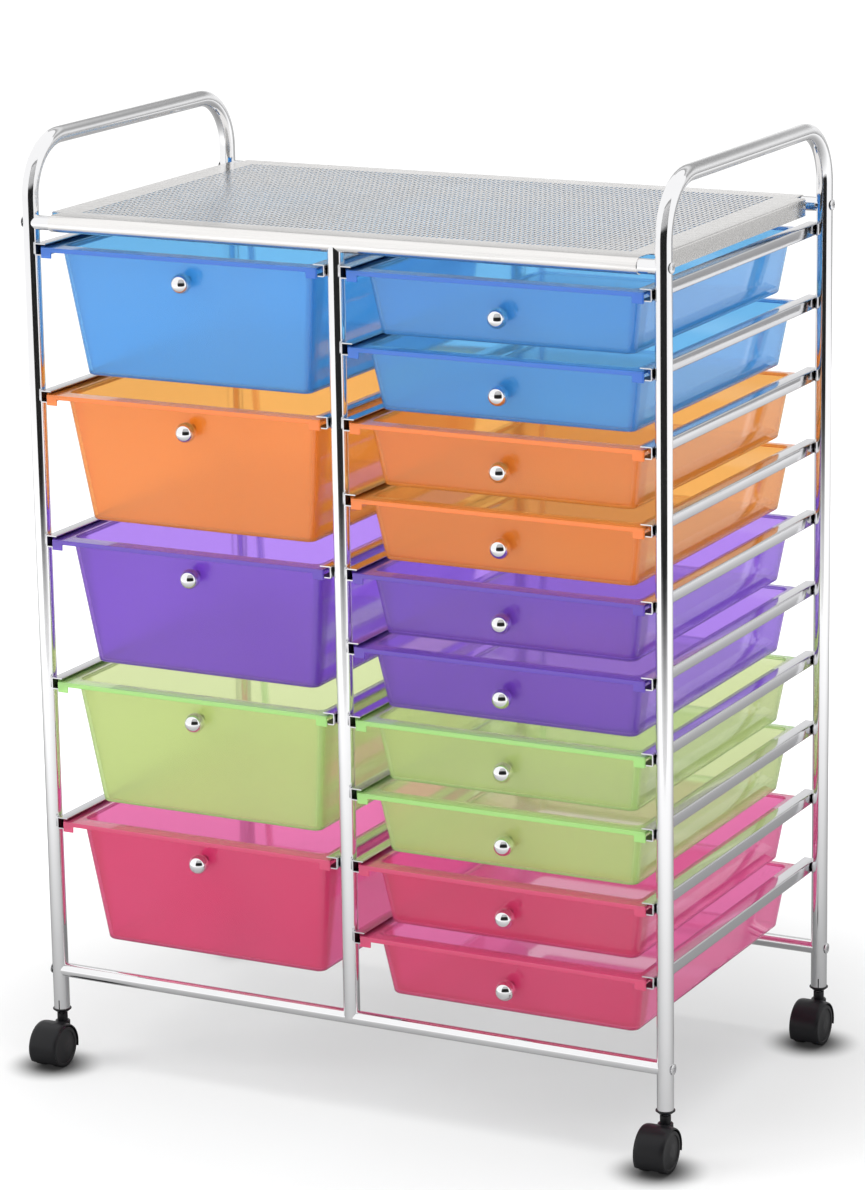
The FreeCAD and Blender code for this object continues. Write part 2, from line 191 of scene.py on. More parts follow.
def loft(loops, closed=False):
    """Faces between neighbouring outlines. The first and last outlines are capped unless closed is set."""
    count = len(loops[0])
    vertices = [point for loop in loops for point in loop]
    faces = []
    pairs = len(loops) if closed else len(loops) - 1
    for k in range(pairs):
        a, b = k * count, (k + 1) % len(loops) * count
        for i in range(count):
            j = (i + 1) % count
            faces.append((a + i, a + j, b + j, b + i))
    if not closed:
        faces.append(tuple(reversed(range(count))))
        faces.append(tuple(range(len(vertices) - count, len(vertices))))
    return mesh_of(vertices, faces)


def cleaned(mesh, outwards=True):
    """Merge doubled points, drop empty faces and, on a closed shape, turn the faces outwards."""
    shape = bmesh.new()
    shape.from_mesh(mesh)
    bmesh.ops.remove_doubles(shape, verts=shape.verts, dist=0.002 * MM)
    bmesh.ops.dissolve_degenerate(shape, edges=shape.edges, dist=0.001 * MM)
    if outwards:
        bmesh.ops.recalc_face_normals(shape, faces=shape.faces)
    shape.to_mesh(mesh)
    shape.free()
    return mesh


def shaded(mesh, crisp=CRISP_DEG):
    mesh.shade_smooth()
    mesh.set_sharp_from_angle(angle=math.radians(crisp))
    return mesh


def turned(profile, steps, place=Matrix.Identity(4)):
    """Turn (radius, height) points about Z. The profile starts and ends on the axis or closes on itself."""
    on_axis = profile[0][0] == 0
    loops = []
    for radius, height in profile:
        ring = []
        for i in range(steps):
            angle = 2 * math.pi * i / steps
            ring.append(place @ Vector((radius * math.cos(angle), radius * math.sin(angle), height)))
        loops.append(ring)
    return cleaned(loft(loops, closed=not on_axis))


def joined(*meshes):
    """Several meshes as one."""
    shape = bmesh.new()
    for mesh in meshes:
        shape.from_mesh(mesh)
    whole = bpy.data.meshes.new("mesh")
    shape.to_mesh(whole)
    shape.free()
    return whole


def moved(mesh, place):
    copy = mesh.copy()
    copy.transform(place)
    return copy


def arc(centre, radius, start_deg, end_deg, steps):
    """Points along an arc in a plane, both ends included."""
    points = []
    for i in range(steps + 1):
        angle = math.radians(start_deg + (end_deg - start_deg) * i / steps)
        points.append((centre[0] + radius * math.cos(angle), centre[1] + radius * math.sin(angle)))
    return points


def weighted(mesh):
    """Normals that follow the large faces, so that flat walls between rounded edges stay flat."""
    carrier = carried(mesh)
    modifier = carrier.modifiers.new("weighted", "WEIGHTED_NORMAL")
    modifier.keep_sharp = True
    return evaluated(carrier)


def merged(operation, first, *others):
    """One closed skin from several closed meshes: their UNION, or the first with a DIFFERENCE cut away."""
    for other in others:
        base, extra = carried(first), carried(other)
        modifier = base.modifiers.new("merged", "BOOLEAN")
        modifier.operation = operation
        modifier.object = extra
        first = evaluated(base)
        bpy.data.objects.remove(extra)
    return first


def triangles(mesh):
    return sum(len(face.vertices) - 2 for face in mesh.polygons)


def piece(name, mesh, finish, slot, body, *nodes):
    """Put a finished mesh in the scene: it rides on a body and stands for the CAD nodes named."""
    mesh.name = name
    mesh.materials.clear()
    mesh.materials.append(finish)
    shown = bpy.data.objects.new(name, mesh)
    bpy.context.scene.collection.objects.link(shown)
    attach(shown, body)
    if nodes:
        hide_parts(*nodes)
    return shown


# %% [markdown]
# ## Camera
# The picture is taken from the front right with a long lens, slightly above the cart. The angles, the
# distance and the point looked at come from fitting the cart's own corners, so the camera only has to be
# turned to them. The roll is the small lean of the picture.

# %% Place the camera
VIEW_AZIMUTH, VIEW_ELEVATION, VIEW_ROLL = (math.radians(angle) for angle in (27.53, 14.40, -0.93))
VIEW_TARGET = Vector((-0.00282, 0.01585, 0.44117))
VIEW_DISTANCE = 3.8891
VIEW_LENS = 128.03
SENSOR = 36.0

flat = math.cos(VIEW_ELEVATION)
view_back = Vector((math.sin(VIEW_AZIMUTH) * flat, -math.cos(VIEW_AZIMUTH) * flat, math.sin(VIEW_ELEVATION)))
level_right = Vector((math.cos(VIEW_AZIMUTH), math.sin(VIEW_AZIMUTH), 0))
level_up = view_back.cross(level_right)
view_right = math.cos(VIEW_ROLL) * level_right + math.sin(VIEW_ROLL) * level_up
view_up = view_back.cross(view_right)
camera_data = bpy.data.cameras.new("camera")
camera_data.sensor_width = SENSOR
camera_data.lens = VIEW_LENS
camera = bpy.data.objects.new("camera", camera_data)
bpy.context.scene.collection.objects.link(camera)
turn = Matrix((view_right, view_up, view_back)).transposed().to_4x4()
camera.matrix_world = Matrix.Translation(VIEW_TARGET + VIEW_DISTANCE * view_back) @ turn
bpy.context.scene.camera = camera
print("camera at", [round(v, 3) for v in camera.location])

# %% [markdown]
# ## Studio
# A polished tube has no colour of its own: it shows the room. A white dome gives the drawers an even, soft
# light, and a wide dark screen behind the camera gives every post and ball the black streak that makes it
# read as chrome. The screen is painted paler towards the floor, so the streak fades down the posts, and grey
# above the cart, so that the panel isn't black when it is seen from behind. A tall grey curtain behind the
# cart, painted in soft bands, draws soft lines along the handles. Both are seen by reflections only, so their
# colours are painted reflections. The floor's paper glows a little by itself, less near the cart, a painted
# shade that leaves it white all round and light grey under the cart. In the chrome it glows only far from
# the cart, a painted reflection that keeps the lower posts from washing out, and it is painted dusky behind
# the cart in the chrome, a painted reflection that draws a grey line along both edges of every post. A soft
# painted shadow lies under each caster that the camera sees.

# %% Floor, dome, lamps and screens
FLOOR_SIZE = 40.0
FLOOR_GREY = 0.64
# Floor glow, weaker near the cart as painted shade; the mirror glow is the glow seen in the chrome, a painted
# reflection.
FLOOR_GLOW = (0.17, 0.56)
GLOW_FADE = (0.34, 0.90)
MIRROR_GLOW = (0.0, 0.48)
MIRROR_FADE = (0.5, 2.2)
# Painted contact shadows on the floor under the casters that the camera sees.
CONTACT_SHADOW_GREY = 0.12
CONTACT_SHADOW_FADE = (0.010, 0.050)
CONTACT_SHADOW_FEET = ("front_left", "front_right", "rear_right")
# Painted reflection: seen in the chrome, the floor behind the cart is darker.
DUSK_GREY = 0.42
DUSK_FADE = (1.2, 2.9)
DUSK_AWAY = 1.7
DOME_LIGHT = 0.86
DOME_SEEN = 1.06
# Screen colours, seen in reflections only: painted reflections.
SCREEN_DARK = (0.004, 0.004, 0.004)
SCREEN_PALE = (0.66, 0.66, 0.66)
SCREEN_FADE = (0.0, 0.26)
SCREEN_HIGH = (0.34, 0.34, 0.34)
HIGH_FADE = (1.0, 1.3)
# Curtain bands, seen in reflections only: painted reflections.
CURTAIN_GREYS = (0.36, 0.78)
CURTAIN_BAND = 1.3

scene = bpy.context.scene
scene.view_settings.view_transform = "Standard"


def finish(name, **values):
    """A material with its shader's even values set. Returns the material, its tree and its shader."""
    material = bpy.data.materials.new(name)
    material.use_nodes = True
    shader = material.node_tree.nodes["Principled BSDF"]
    for key, value in values.items():
        shader.inputs[key.replace("_", " ")].default_value = value
    return material, material.node_tree, shader


def along(tree, axis):
    """How far along an axis a point of the piece lies."""
    place = add(tree, "ShaderNodeTexCoord").outputs["Object"]
    return add(tree, "ShaderNodeSeparateXYZ", Vector=place).outputs[axis]


def card(name, centre, facing, width, height, material):
    """An upright or level rectangle of the studio, centred on a point and facing a direction."""
    out = Vector(facing).normalized()
    across = Vector((0, 1, 0)) if abs(out.z) > 0.99 else Vector((0, 0, 1)).cross(out).normalized()
    up = out.cross(across)
    corners = [Vector(centre) + across * (sx * width / 2) + up * (sy * height / 2)
               for sx, sy in ((-1, -1), (1, -1), (1, 1), (-1, 1))]
    mesh = mesh_of(corners, [(0, 1, 2, 3)])
    mesh.materials.append(material)
    shown = bpy.data.objects.new(name, mesh)
    scene.collection.objects.link(shown)
    return shown


def reflected_only(shown):
    shown.visible_camera = False
    shown.visible_diffuse = False
    shown.visible_transmission = False
    shown.visible_shadow = False


def fading_cloth():
    """Dark cloth, painted paler towards the floor and grey above the cart: a painted reflection in the
    chrome.
    """
    cloth, tree, shader = finish("front_cloth", Roughness=1.0)
    height = along(tree, "Z")
    dark = ranged(tree, height, SCREEN_FADE, way="SMOOTHSTEP")
    grey = ranged(tree, height, HIGH_FADE, way="SMOOTHSTEP")
    shade = tinted(tree, grey, tinted(tree, dark, SCREEN_PALE, SCREEN_DARK), SCREEN_HIGH)
    tree.links.new(shade, shader.inputs["Base Color"])
    return cloth


def folded_cloth():
    """Grey cloth painted in soft level bands: a painted reflection in the chrome."""
    cloth, tree, shader = finish("rear_cloth", Roughness=1.0)
    fold = combined(tree, along(tree, "Z"), CURTAIN_BAND, "PINGPONG")
    light = ranged(tree, fold, (0, CURTAIN_BAND), way="SMOOTHSTEP")
    dark, pale = ((grey,) * 3 for grey in CURTAIN_GREYS)
    tree.links.new(tinted(tree, light, dark, pale), shader.inputs["Base Color"])
    return cloth


def faded(tree, point, middle, radii, values):
    """A value that changes smoothly with the distance from a point on the floor."""
    away = add(tree, "ShaderNodeVectorMath", {"operation": "DISTANCE"})
    put(tree, point, away.inputs[0])
    put(tree, middle, away.inputs[1])
    return ranged(tree, away.outputs["Value"], radii, values, "SMOOTHSTEP")


def floor_paper():
    """White paper that glows less near the cart, a painted shade, with soft painted shadows under the
    casters.
    """
    paper, tree, shader = finish("floor_paper", Roughness=0.9, Emission_Color=(1, 1, 1, 1),
                                 Specular_IOR_Level=0.0)
    point = add(tree, "ShaderNodeTexCoord").outputs["Object"]
    rays = add(tree, "ShaderNodeLightPath").outputs
    glossy = rays["Is Glossy Ray"]
    reflected = combined(tree, glossy, rays["Is Transmission Ray"], "GREATER_THAN")
    under = (0, MIDDLE_Y, 0)
    # The glow is weaker near the cart, a painted shade; for glossy rays it is weaker still near the cart, a
    # painted reflection.
    glow = faded(tree, point, under, GLOW_FADE, FLOOR_GLOW)
    mirrored = faded(tree, point, under, MIRROR_FADE, MIRROR_GLOW)
    glow = ranged(tree, glossy, ends=(glow, mirrored))
    # Painted reflection: for glossy rays the floor behind the cart is darker, which draws grey lines on the
    # posts' edges.
    behind = Vector((-math.sin(VIEW_AZIMUTH), math.cos(VIEW_AZIMUTH), 0)) * DUSK_AWAY
    dusk = faded(tree, point, behind, DUSK_FADE, (DUSK_GREY, 1.0))
    shade = ranged(tree, reflected, ends=(1.0, dusk))
    # Painted contact shadows: the paper darkens round each caster's foot.
    for foot in CONTACT_SHADOW_FEET:
        low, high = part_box(foot + "_caster_wheels")
        middle = ((low.x + high.x) / 2, (low.y + high.y) / 2, 0)
        shade = combined(tree, shade, faded(tree, point, middle, CONTACT_SHADOW_FADE, (CONTACT_SHADOW_GREY, 1.0)))
    tree.links.new(combined(tree, glow, shade), shader.inputs["Emission Strength"])
    tree.links.new(tinted(tree, shade, (0, 0, 0), (FLOOR_GREY,) * 3), shader.inputs["Base Color"])
    return paper


card("studio_floor", (0, 0, 0), (0, 0, 1), FLOOR_SIZE, FLOOR_SIZE, floor_paper())

screens = {"front_screen": (VIEW_AZIMUTH, 1.5, 2.3, 2.8, fading_cloth()),
           "rear_screen": (math.pi, 3.4, 7.0, 5.2, folded_cloth())}
for name, (azimuth, away, width, height, cloth) in screens.items():
    out = Vector((math.sin(azimuth), -math.cos(azimuth), 0))
    reflected_only(card(name, out * away + Vector((0, MIDDLE_Y, height / 2)), -out, width, height, cloth))

world = bpy.data.worlds.new("dome")
scene.world = world
world.use_nodes = True
dome = world.node_tree
background = dome.nodes["Background"]
background.inputs["Color"].default_value = (1, 1, 1, 1)
rays = add(dome, "ShaderNodeLightPath").outputs
seen = combined(dome, rays["Is Camera Ray"], rays["Is Glossy Ray"], "MAXIMUM")
seen = combined(dome, seen, rays["Is Transmission Ray"], "MAXIMUM")
dome.links.new(ranged(dome, seen, ends=(DOME_LIGHT, DOME_SEEN)), background.inputs["Strength"])

LAMPS = {"lamp_over": ((0.2, -0.3, 2.6), (0, 0, 0.4), 2.4, 42.0),
         "lamp_left": ((-2.4, -1.6, 1.9), (0, 0, 0.5), 1.4, 27.0)}
for name, (place, aim, size, power) in LAMPS.items():
    lamp = bpy.data.lights.new(name, "AREA")
    lamp.size = size
    lamp.energy = power
    shown = bpy.data.objects.new(name, lamp)
    shown.location = place
    shown.rotation_euler = (Vector(place) - Vector(aim)).to_track_quat("Z", "Y").to_euler()
    shown.visible_glossy = False
    scene.collection.objects.link(shown)
print("screens", len(screens), "lamps", len(LAMPS))

# %% [markdown]
# ## Finishes
# Every finish is one shader with small, uneven changes: a chromed tube has faint smears, rolled sheet has
# drawn lines, moulded plastic has a slow ripple where it cooled. The patterns read Object coordinates, which
# stay with a piece when it moves.

# %% Finish helpers
NOISE_SPAN = (0.3, 0.7)


def grain(tree, scale, stretch=(1, 1, 1), detail=2.0):
    """Noise on the piece itself, longer along an axis whose stretch is small."""
    place = add(tree, "ShaderNodeTexCoord")
    mapped = add(tree, "ShaderNodeMapping", Vector=place.outputs["Object"], Scale=stretch)
    noise = add(tree, "ShaderNodeTexNoise", Vector=mapped.outputs[0], Scale=scale, Detail=detail)
    return noise.outputs["Fac"]


def between(tree, factor, low, high):
    """A value that wanders between two values as the noise does."""
    return ranged(tree, factor, NOISE_SPAN, (low, high))


def toned(colour, amount):
    return tuple(amount * c for c in colour)


def uneven(tree, shader, factor, strength, depth):
    bump = add(tree, "ShaderNodeBump", Height=factor, Strength=strength, Distance=depth)
    tree.links.new(bump.outputs[0], shader.inputs["Normal"])


# %% Metal finishes
SMEAR_TONE = 0.94
LINE_TONE = 0.90


def chrome(name, colour, low, high):
    """Bright plate: nearly a mirror, with faint smears that dull it."""
    material, tree, shader = finish(name, Metallic=1.0)
    smear = grain(tree, scale=22.0, detail=4.0)
    tree.links.new(between(tree, smear, low, high), shader.inputs["Roughness"])
    tree.links.new(tinted(tree, smear, colour, toned(colour, SMEAR_TONE)), shader.inputs["Base Color"])
    uneven(tree, shader, grain(tree, scale=60.0), strength=0.05, depth=0.2 * MM)
    return material


def drawn_sheet(name, colour, stretch, low, high):
    """Rolled sheet: fine lines run along the way that it was rolled."""
    material, tree, shader = finish(name, Metallic=1.0)
    lines = grain(tree, scale=700.0, stretch=stretch, detail=3.0)
    tree.links.new(between(tree, lines, low, high), shader.inputs["Roughness"])
    tree.links.new(tinted(tree, lines, colour, toned(colour, LINE_TONE)), shader.inputs["Base Color"])
    uneven(tree, shader, lines, strength=0.06, depth=0.05 * MM)
    return material


def shade_channel_inside(material, colour, roughness):
    """Paint the faces that are marked as recessed dark and dull: a painted shade inside the channel."""
    tree = material.node_tree
    shader = tree.nodes["Principled BSDF"]
    recess = add(tree, "ShaderNodeAttribute", {"attribute_name": "recess"}).outputs["Fac"]
    bright = shader.inputs["Base Color"].links[0].from_socket
    # Painted shade: the marked faces take the dark colour.
    tree.links.new(tinted(tree, recess, bright, colour), shader.inputs["Base Color"])
    smooth = shader.inputs["Roughness"].links[0].from_socket
    tree.links.new(ranged(tree, recess, ends=(smooth, roughness)), shader.inputs["Roughness"])


ALONG_X = (0.02, 1, 1)
ALONG_Y = (1, 0.02, 1)
ALONG_Z = (1, 1, 0.05)
chrome_tube = chrome("chrome_tube", (0.90, 0.90, 0.91), 0.03, 0.08)
chrome_knob = chrome("chrome_knob", (0.92, 0.92, 0.93), 0.02, 0.05)
chrome_screw = chrome("chrome_screw", (0.84, 0.84, 0.85), 0.18, 0.30)
rail_sheet = drawn_sheet("rail_sheet", (0.73, 0.73, 0.75), ALONG_Y, 0.06, 0.16)
panel_sheet = drawn_sheet("panel_sheet", (0.93, 0.915, 0.90), ALONG_X, 0.16, 0.32)
plain_steel = drawn_sheet("plain_steel", (0.60, 0.60, 0.62), ALONG_Z, 0.25, 0.40)
# Painted shade inside each rail channel.
shade_channel_inside(rail_sheet, (0.06, 0.06, 0.065), 0.35)
metals = (chrome_tube, chrome_knob, chrome_screw, rail_sheet, panel_sheet, plain_steel)
print("metals", [metal.name for metal in metals])

# %% Plastic finishes
DRAWER_COLOURS = {"blue": (0.11, 0.48, 0.90), "orange": (1.0, 0.38, 0.05), "purple": (0.31, 0.12, 0.68),
                  "green": (0.71, 0.82, 0.36), "pink": (0.84, 0.095, 0.26)}
# Painted light: the paler colours of the walls behind the front, for light shining through them.
BACKLIT_SIDE_COLOURS = {"blue": (0.22, 0.60, 0.98), "orange": (1.0, 0.52, 0.15), "purple": (0.52, 0.30, 0.95),
                "green": (0.80, 0.89, 0.50), "pink": (1.0, 0.27, 0.57)}
# Painted shade: the deeper colours of the rims, corners and floors.
EDGE_SHADE_COLOURS = {"blue": (0.05, 0.20, 0.68), "orange": (0.96, 0.27, 0.05), "purple": (0.15, 0.07, 0.52),
                "green": (0.42, 0.76, 0.24), "pink": (0.72, 0.08, 0.20)}
WALL_CLEARNESS = 0.79
EDGE_CLEARNESS = 0.45
PLASTIC_IOR = 1.46
FROST_DEPTHS = (28 * MM, 34 * MM)
FROST_ROUGH = 0.26
WALL_ROUGH = 0.07
CLOUD = 0.07
DUST_TONE = 1.6


def drawer_plastic(name, colour, backlit_side_colour, edge_shade_colour):
    """Milky see-through plastic: part of the light goes through and part of it is scattered. The front wall
    is frosted on its inside. The other walls are smooth and painted paler, a painted light for the light that
    shines through them, and the edges, corners and floor are painted deeper, a painted shade."""
    material, tree, shader = finish(name, IOR=PLASTIC_IOR, Coat_Weight=0.6, Coat_Roughness=0.04)
    flow = between(tree, grain(tree, scale=7.0, detail=1.0), 0.0, 0.5)
    cloudy = tuple((1 - CLOUD) * c + CLOUD for c in colour)
    behind = ranged(tree, along(tree, "Y"), [FRONT_Y + depth for depth in FROST_DEPTHS])
    # The edge attribute marks where painted shade deepens the colour.
    edge = add(tree, "ShaderNodeAttribute", {"attribute_name": "edge"}).outputs["Fac"]
    # The walls behind the front take the paler colour, a painted light.
    wall_colour = tinted(tree, behind, tinted(tree, flow, colour, cloudy), backlit_side_colour)
    tree.links.new(tinted(tree, edge, wall_colour, edge_shade_colour), shader.inputs["Base Color"])
    clear = ranged(tree, edge, ends=(WALL_CLEARNESS, EDGE_CLEARNESS))
    tree.links.new(clear, shader.inputs["Transmission Weight"])
    tree.links.new(ranged(tree, behind, ends=(FROST_ROUGH, WALL_ROUGH)), shader.inputs["Roughness"])
    uneven(tree, shader, grain(tree, scale=11.0, detail=0.0), strength=0.06, depth=1.0 * MM)
    return material


def moulded_black(name, colour, low, high):
    """Black nylon with the fine matt grain of its mould."""
    material, tree, shader = finish(name, Specular_IOR_Level=0.28)
    dust = grain(tree, scale=90.0, detail=3.0)
    tree.links.new(tinted(tree, dust, colour, toned(colour, DUST_TONE)), shader.inputs["Base Color"])
    tree.links.new(between(tree, dust, low, high), shader.inputs["Roughness"])
    uneven(tree, shader, grain(tree, scale=1600.0), strength=0.12, depth=0.1 * MM)
    return material


drawer_finish = {name: drawer_plastic(name + "_plastic", colour, BACKLIT_SIDE_COLOURS[name], EDGE_SHADE_COLOURS[name])
                 for name, colour in DRAWER_COLOURS.items()}
black_nylon = moulded_black("black_nylon", (0.006, 0.006, 0.007), 0.30, 0.44)
wheel_nylon = moulded_black("wheel_nylon", (0.014, 0.014, 0.015), 0.36, 0.52)
print("plastics", [m.name for m in drawer_finish.values()])

# %% [markdown]
# ## Side frames
# Each side of the real cart is one tube, bent twice: it is the front post, the handle and the rear post in
# one. A tube follows a path, which is what Geometry Nodes do well: the path is a few points, the tree rounds
# the two bends and carries a ring along it. The small cut at a post's foot lets the real tube grip its
# caster's plug, so one strip of faces is taken out before the wall gets its thickness.

# %% Tube tree
def tube_tree():
    tree, given = geometry_tree("bent_tube", Radius="Float", Ring="Int", Bend="Int", Finish="Material")
    path = add(tree, "GeometryNodeMeshToCurve", Mesh=given.outputs["Geometry"])
    bend = add(tree, "GeometryNodeInputNamedAttribute", {"data_type": "FLOAT"}, Name="bend")
    rounded = add(tree, "GeometryNodeFilletCurve", {"mode": "POLY"}, Curve=path.outputs[0],
                  Count=given.outputs["Bend"], Radius=bend.outputs[0])
    ring = add(tree, "GeometryNodeCurvePrimitiveCircle", Resolution=given.outputs["Ring"],
               Radius=given.outputs["Radius"])
    swept = add(tree, "GeometryNodeCurveToMesh", Curve=rounded.outputs[0], Profile_Curve=ring.outputs[0])
    end_tree(tree, given, swept.outputs[0])
    return tree


HANDLE_BEND = 52 * MM
TUBE_WALL = 1.2 * MM
SLIT_HEIGHT = 9 * MM
SLIT_TURN = math.radians(15)
RING_POINTS = 48
BEND_POINTS = 20
bent_tube = tube_tree()


def path_mesh(points, bends, closed=False):
    """A row or a loop of joined points, with the bend radius that each one gets."""
    count = len(points)
    pairs = [(i, (i + 1) % count) for i in range(count if closed else count - 1)]
    mesh = bpy.data.meshes.new("path")
    mesh.from_pydata(points, pairs, [])
    mesh.attributes.new("bend", "FLOAT", "POINT").data.foreach_set("value", bends)
    return mesh


def slit_open(mesh, x, y):
    """Take out the strip of faces at a post's foot where the real tube is cut."""
    aim = Vector((math.sin(SLIT_TURN), -math.cos(SLIT_TURN)))
    shape = bmesh.new()
    shape.from_mesh(mesh)
    feet = [f for f in shape.faces if f.calc_center_median().z < FOOT_Z + SLIT_HEIGHT
            and (f.calc_center_median().xy - Vector((x, y))).length < 2 * POST_R]
    strip = max(feet, key=lambda f: (f.calc_center_median().xy - Vector((x, y))).dot(aim))
    bmesh.ops.delete(shape, geom=[strip], context="FACES")
    bmesh.ops.recalc_face_normals(shape, faces=shape.faces)
    shape.to_mesh(mesh)
    shape.free()


def walled(mesh, thickness):
    """Give a sheet its thickness, inwards from the surface that shows."""
    carrier = carried(mesh)
    modifier = carrier.modifiers.new("wall", "SOLIDIFY")
    modifier.thickness = thickness
    modifier.offset = -1
    return evaluated(carrier)


# %% Bend the two side frames
for side, x, slit_y in (("left", -POST_X, FRONT_Y), ("right", POST_X, REAR_Y)):
    cut_z = FOOT_Z + SLIT_HEIGHT
    points = [(x, FRONT_Y, FOOT_Z), (x, FRONT_Y, cut_z), (x, FRONT_Y, HANDLE_Z),
              (x, REAR_Y, HANDLE_Z), (x, REAR_Y, cut_z), (x, REAR_Y, FOOT_Z)]
    path = path_mesh(points, (0, 0, HANDLE_BEND, HANDLE_BEND, 0, 0))
    tube = grown(bent_tube, path, Radius=POST_R, Ring=RING_POINTS, Bend=BEND_POINTS, Finish=chrome_tube)
    slit_open(tube, x, slit_y)
    tube = shaded(walled(tube, TUBE_WALL))
    piece(side + "_side_tube", tube, chrome_tube, "chrome_tube", "frame", side + "_side_frame")
    print(side, "side tube", triangles(tube), "triangles")

# %% [markdown]
# ## Cross tubes and centre posts
# The straight tubes end on other tubes, and a real end is coped: cut to the round of the tube that it meets.
# The ends are worked out point by point from that tube's radius, so they close against it with no gap.

# %% Straight tubes
CROSS_WALL = 1.0 * MM


def coped(across, radius):
    """How far a round tube stands out from its axis at a distance across it."""
    return math.sqrt(max(radius ** 2 - across ** 2, 0))


def straight_tube(radius, wall, ends):
    """A tube along Z whose two ends are functions of the angle round it."""
    loops = []
    for r, order in ((radius, (0, 1)), (radius - wall, (1, 0))):
        for end in order:
            ring = []
            for i in range(RING_POINTS):
                angle = 2 * math.pi * i / RING_POINTS
                across = r * math.sin(angle)
                ring.append(Vector((r * math.cos(angle), across, ends[end](across))))
            loops.append(ring)
    return shaded(cleaned(loft(loops, closed=True)))


def along_x(y, z):
    """The place that lays a piece's Z axis along X and its Y axis along Y."""
    return Matrix.Translation((0, y, z)) @ Matrix(((0, 0, 1, 0), (0, 1, 0, 0), (-1, 0, 0, 0), (0, 0, 0, 1)))


cross = straight_tube(CROSS_R, CROSS_WALL, (lambda y: coped(y, POST_R) - POST_X,
                                            lambda y: POST_X - coped(y, POST_R)))
for name, y, z in (("bottom_front_tube", FRONT_Y, BOTTOM_Z), ("bottom_rear_tube", REAR_Y, BOTTOM_Z),
                   ("top_front_tube", FRONT_Y, TOP_Z), ("top_rear_tube", REAR_Y, TOP_Z)):
    piece("chromed_" + name, moved(cross, along_x(y, z)), chrome_tube, "chrome_tube", "frame", name)

ROLL_R = panel_high.z - TOP_Z
upright = straight_tube(POST_R, TUBE_WALL, (lambda y: BOTTOM_Z + coped(y, CROSS_R),
                                            lambda y: TOP_Z - coped(y, ROLL_R)))
uprights = joined(*[moved(upright, Matrix.Translation((0, y, 0))) for y in (FRONT_Y, REAR_Y)])
piece("chromed_centre_posts", shaded(uprights), chrome_tube, "chrome_tube", "frame", "centre_posts")
print("straight tube", triangles(cross), "triangles each")

# %% [markdown]
# ## Drawer rails
# A rail is a strip of sheet folded into a U, and it repeats at an even pitch down each post. The outline of
# one rail is drawn with small radii at its folds, a tree carries it from front to rear and sets copies at
# each level. One tree makes all the columns: only the outline's side, the count and the pitch change. The
# faces inside the channel are marked and painted dark and dull: a painted shade inside the channel.

# %% Rail tree
def rail_tree():
    tree, given = geometry_tree("rail_column", Length="Float", Count="Int", Pitch="Float", Finish="Material")
    outline = add(tree, "GeometryNodeMeshToCurve", Mesh=given.outputs["Geometry"])
    bend = add(tree, "GeometryNodeInputNamedAttribute", {"data_type": "FLOAT"}, Name="bend")
    folded = add(tree, "GeometryNodeFilletCurve", {"mode": "POLY"}, Curve=outline.outputs[0],
                 Count=FOLD_POINTS, Radius=bend.outputs[0])
    far = add(tree, "ShaderNodeCombineXYZ", Z=given.outputs["Length"])
    way = add(tree, "GeometryNodeCurvePrimitiveLine", End=far.outputs[0])
    bar = add(tree, "GeometryNodeCurveToMesh", Curve=way.outputs[0], Profile_Curve=folded.outputs[0],
              Fill_Caps=True)
    laid = add(tree, "GeometryNodeTransform", Geometry=bar.outputs[0], Rotation=(-math.pi / 2, 0, 0))
    step = add(tree, "ShaderNodeCombineXYZ", Z=combined(tree, given.outputs["Pitch"], -1.0))
    levels = add(tree, "GeometryNodeMeshLine", Count=given.outputs["Count"], Offset=step.outputs[0])
    column = add(tree, "GeometryNodeInstanceOnPoints", Points=levels.outputs[0], Instance=laid.outputs[0])
    end_tree(tree, given, column.outputs[0])
    return tree


RAIL_SHEET = 1.0 * MM
RAIL_FOLD = 1.3 * MM
RAIL_EDGE = 0.25 * MM
FOLD_POINTS = 4
MARK_SLACK = 0.1 * RAIL_EDGE
rail_column = rail_tree()


def rail_outline(width, height, opens):
    """The closed outline of a U that opens towards +X or -X, with the radius of each corner."""
    half = height / 2
    inner = half - RAIL_SHEET
    points = [(0, -half), (width, -half), (width, -inner), (RAIL_SHEET, -inner),
              (RAIL_SHEET, inner), (width, inner), (width, half), (0, half)]
    inside = RAIL_FOLD - RAIL_SHEET
    radii = (RAIL_FOLD, RAIL_EDGE, RAIL_EDGE, inside, inside, RAIL_EDGE, RAIL_EDGE, RAIL_FOLD)
    return path_mesh([(opens * x, y, 0) for x, y in points], radii, closed=True)


def mark_recess_for_shade(column, pitch, opens, height):
    """Mark the faces inside the channels for the painted shade, before the column is set in its place."""
    inside = height / 2 - RAIL_SHEET + MARK_SLACK
    marks = []
    for face in column.polygons:
        level = round(face.center.z / pitch) * pitch
        end_cap = abs(face.normal.y) > 0.5
        deep = opens * face.center.x > RAIL_SHEET - MARK_SLACK and abs(face.center.z - level) < inside
        marks.append(float(deep and not end_cap))
    column.attributes.new("recess", "FLOAT", "FACE").data.foreach_set("value", marks)


def rail_set(web_x, opens, top_z, pitch, count, size):
    """A column of rails whose webs lie at web_x."""
    outline = rail_outline(size.x, size.z, opens)
    column = cleaned(grown(rail_column, outline, Length=size.y, Count=count, Pitch=pitch, Finish=rail_sheet))
    mark_recess_for_shade(column, pitch, opens, size.z)
    column.transform(Matrix.Translation((web_x, FRONT_Y - POST_R, top_z - size.z / 2)))
    return column


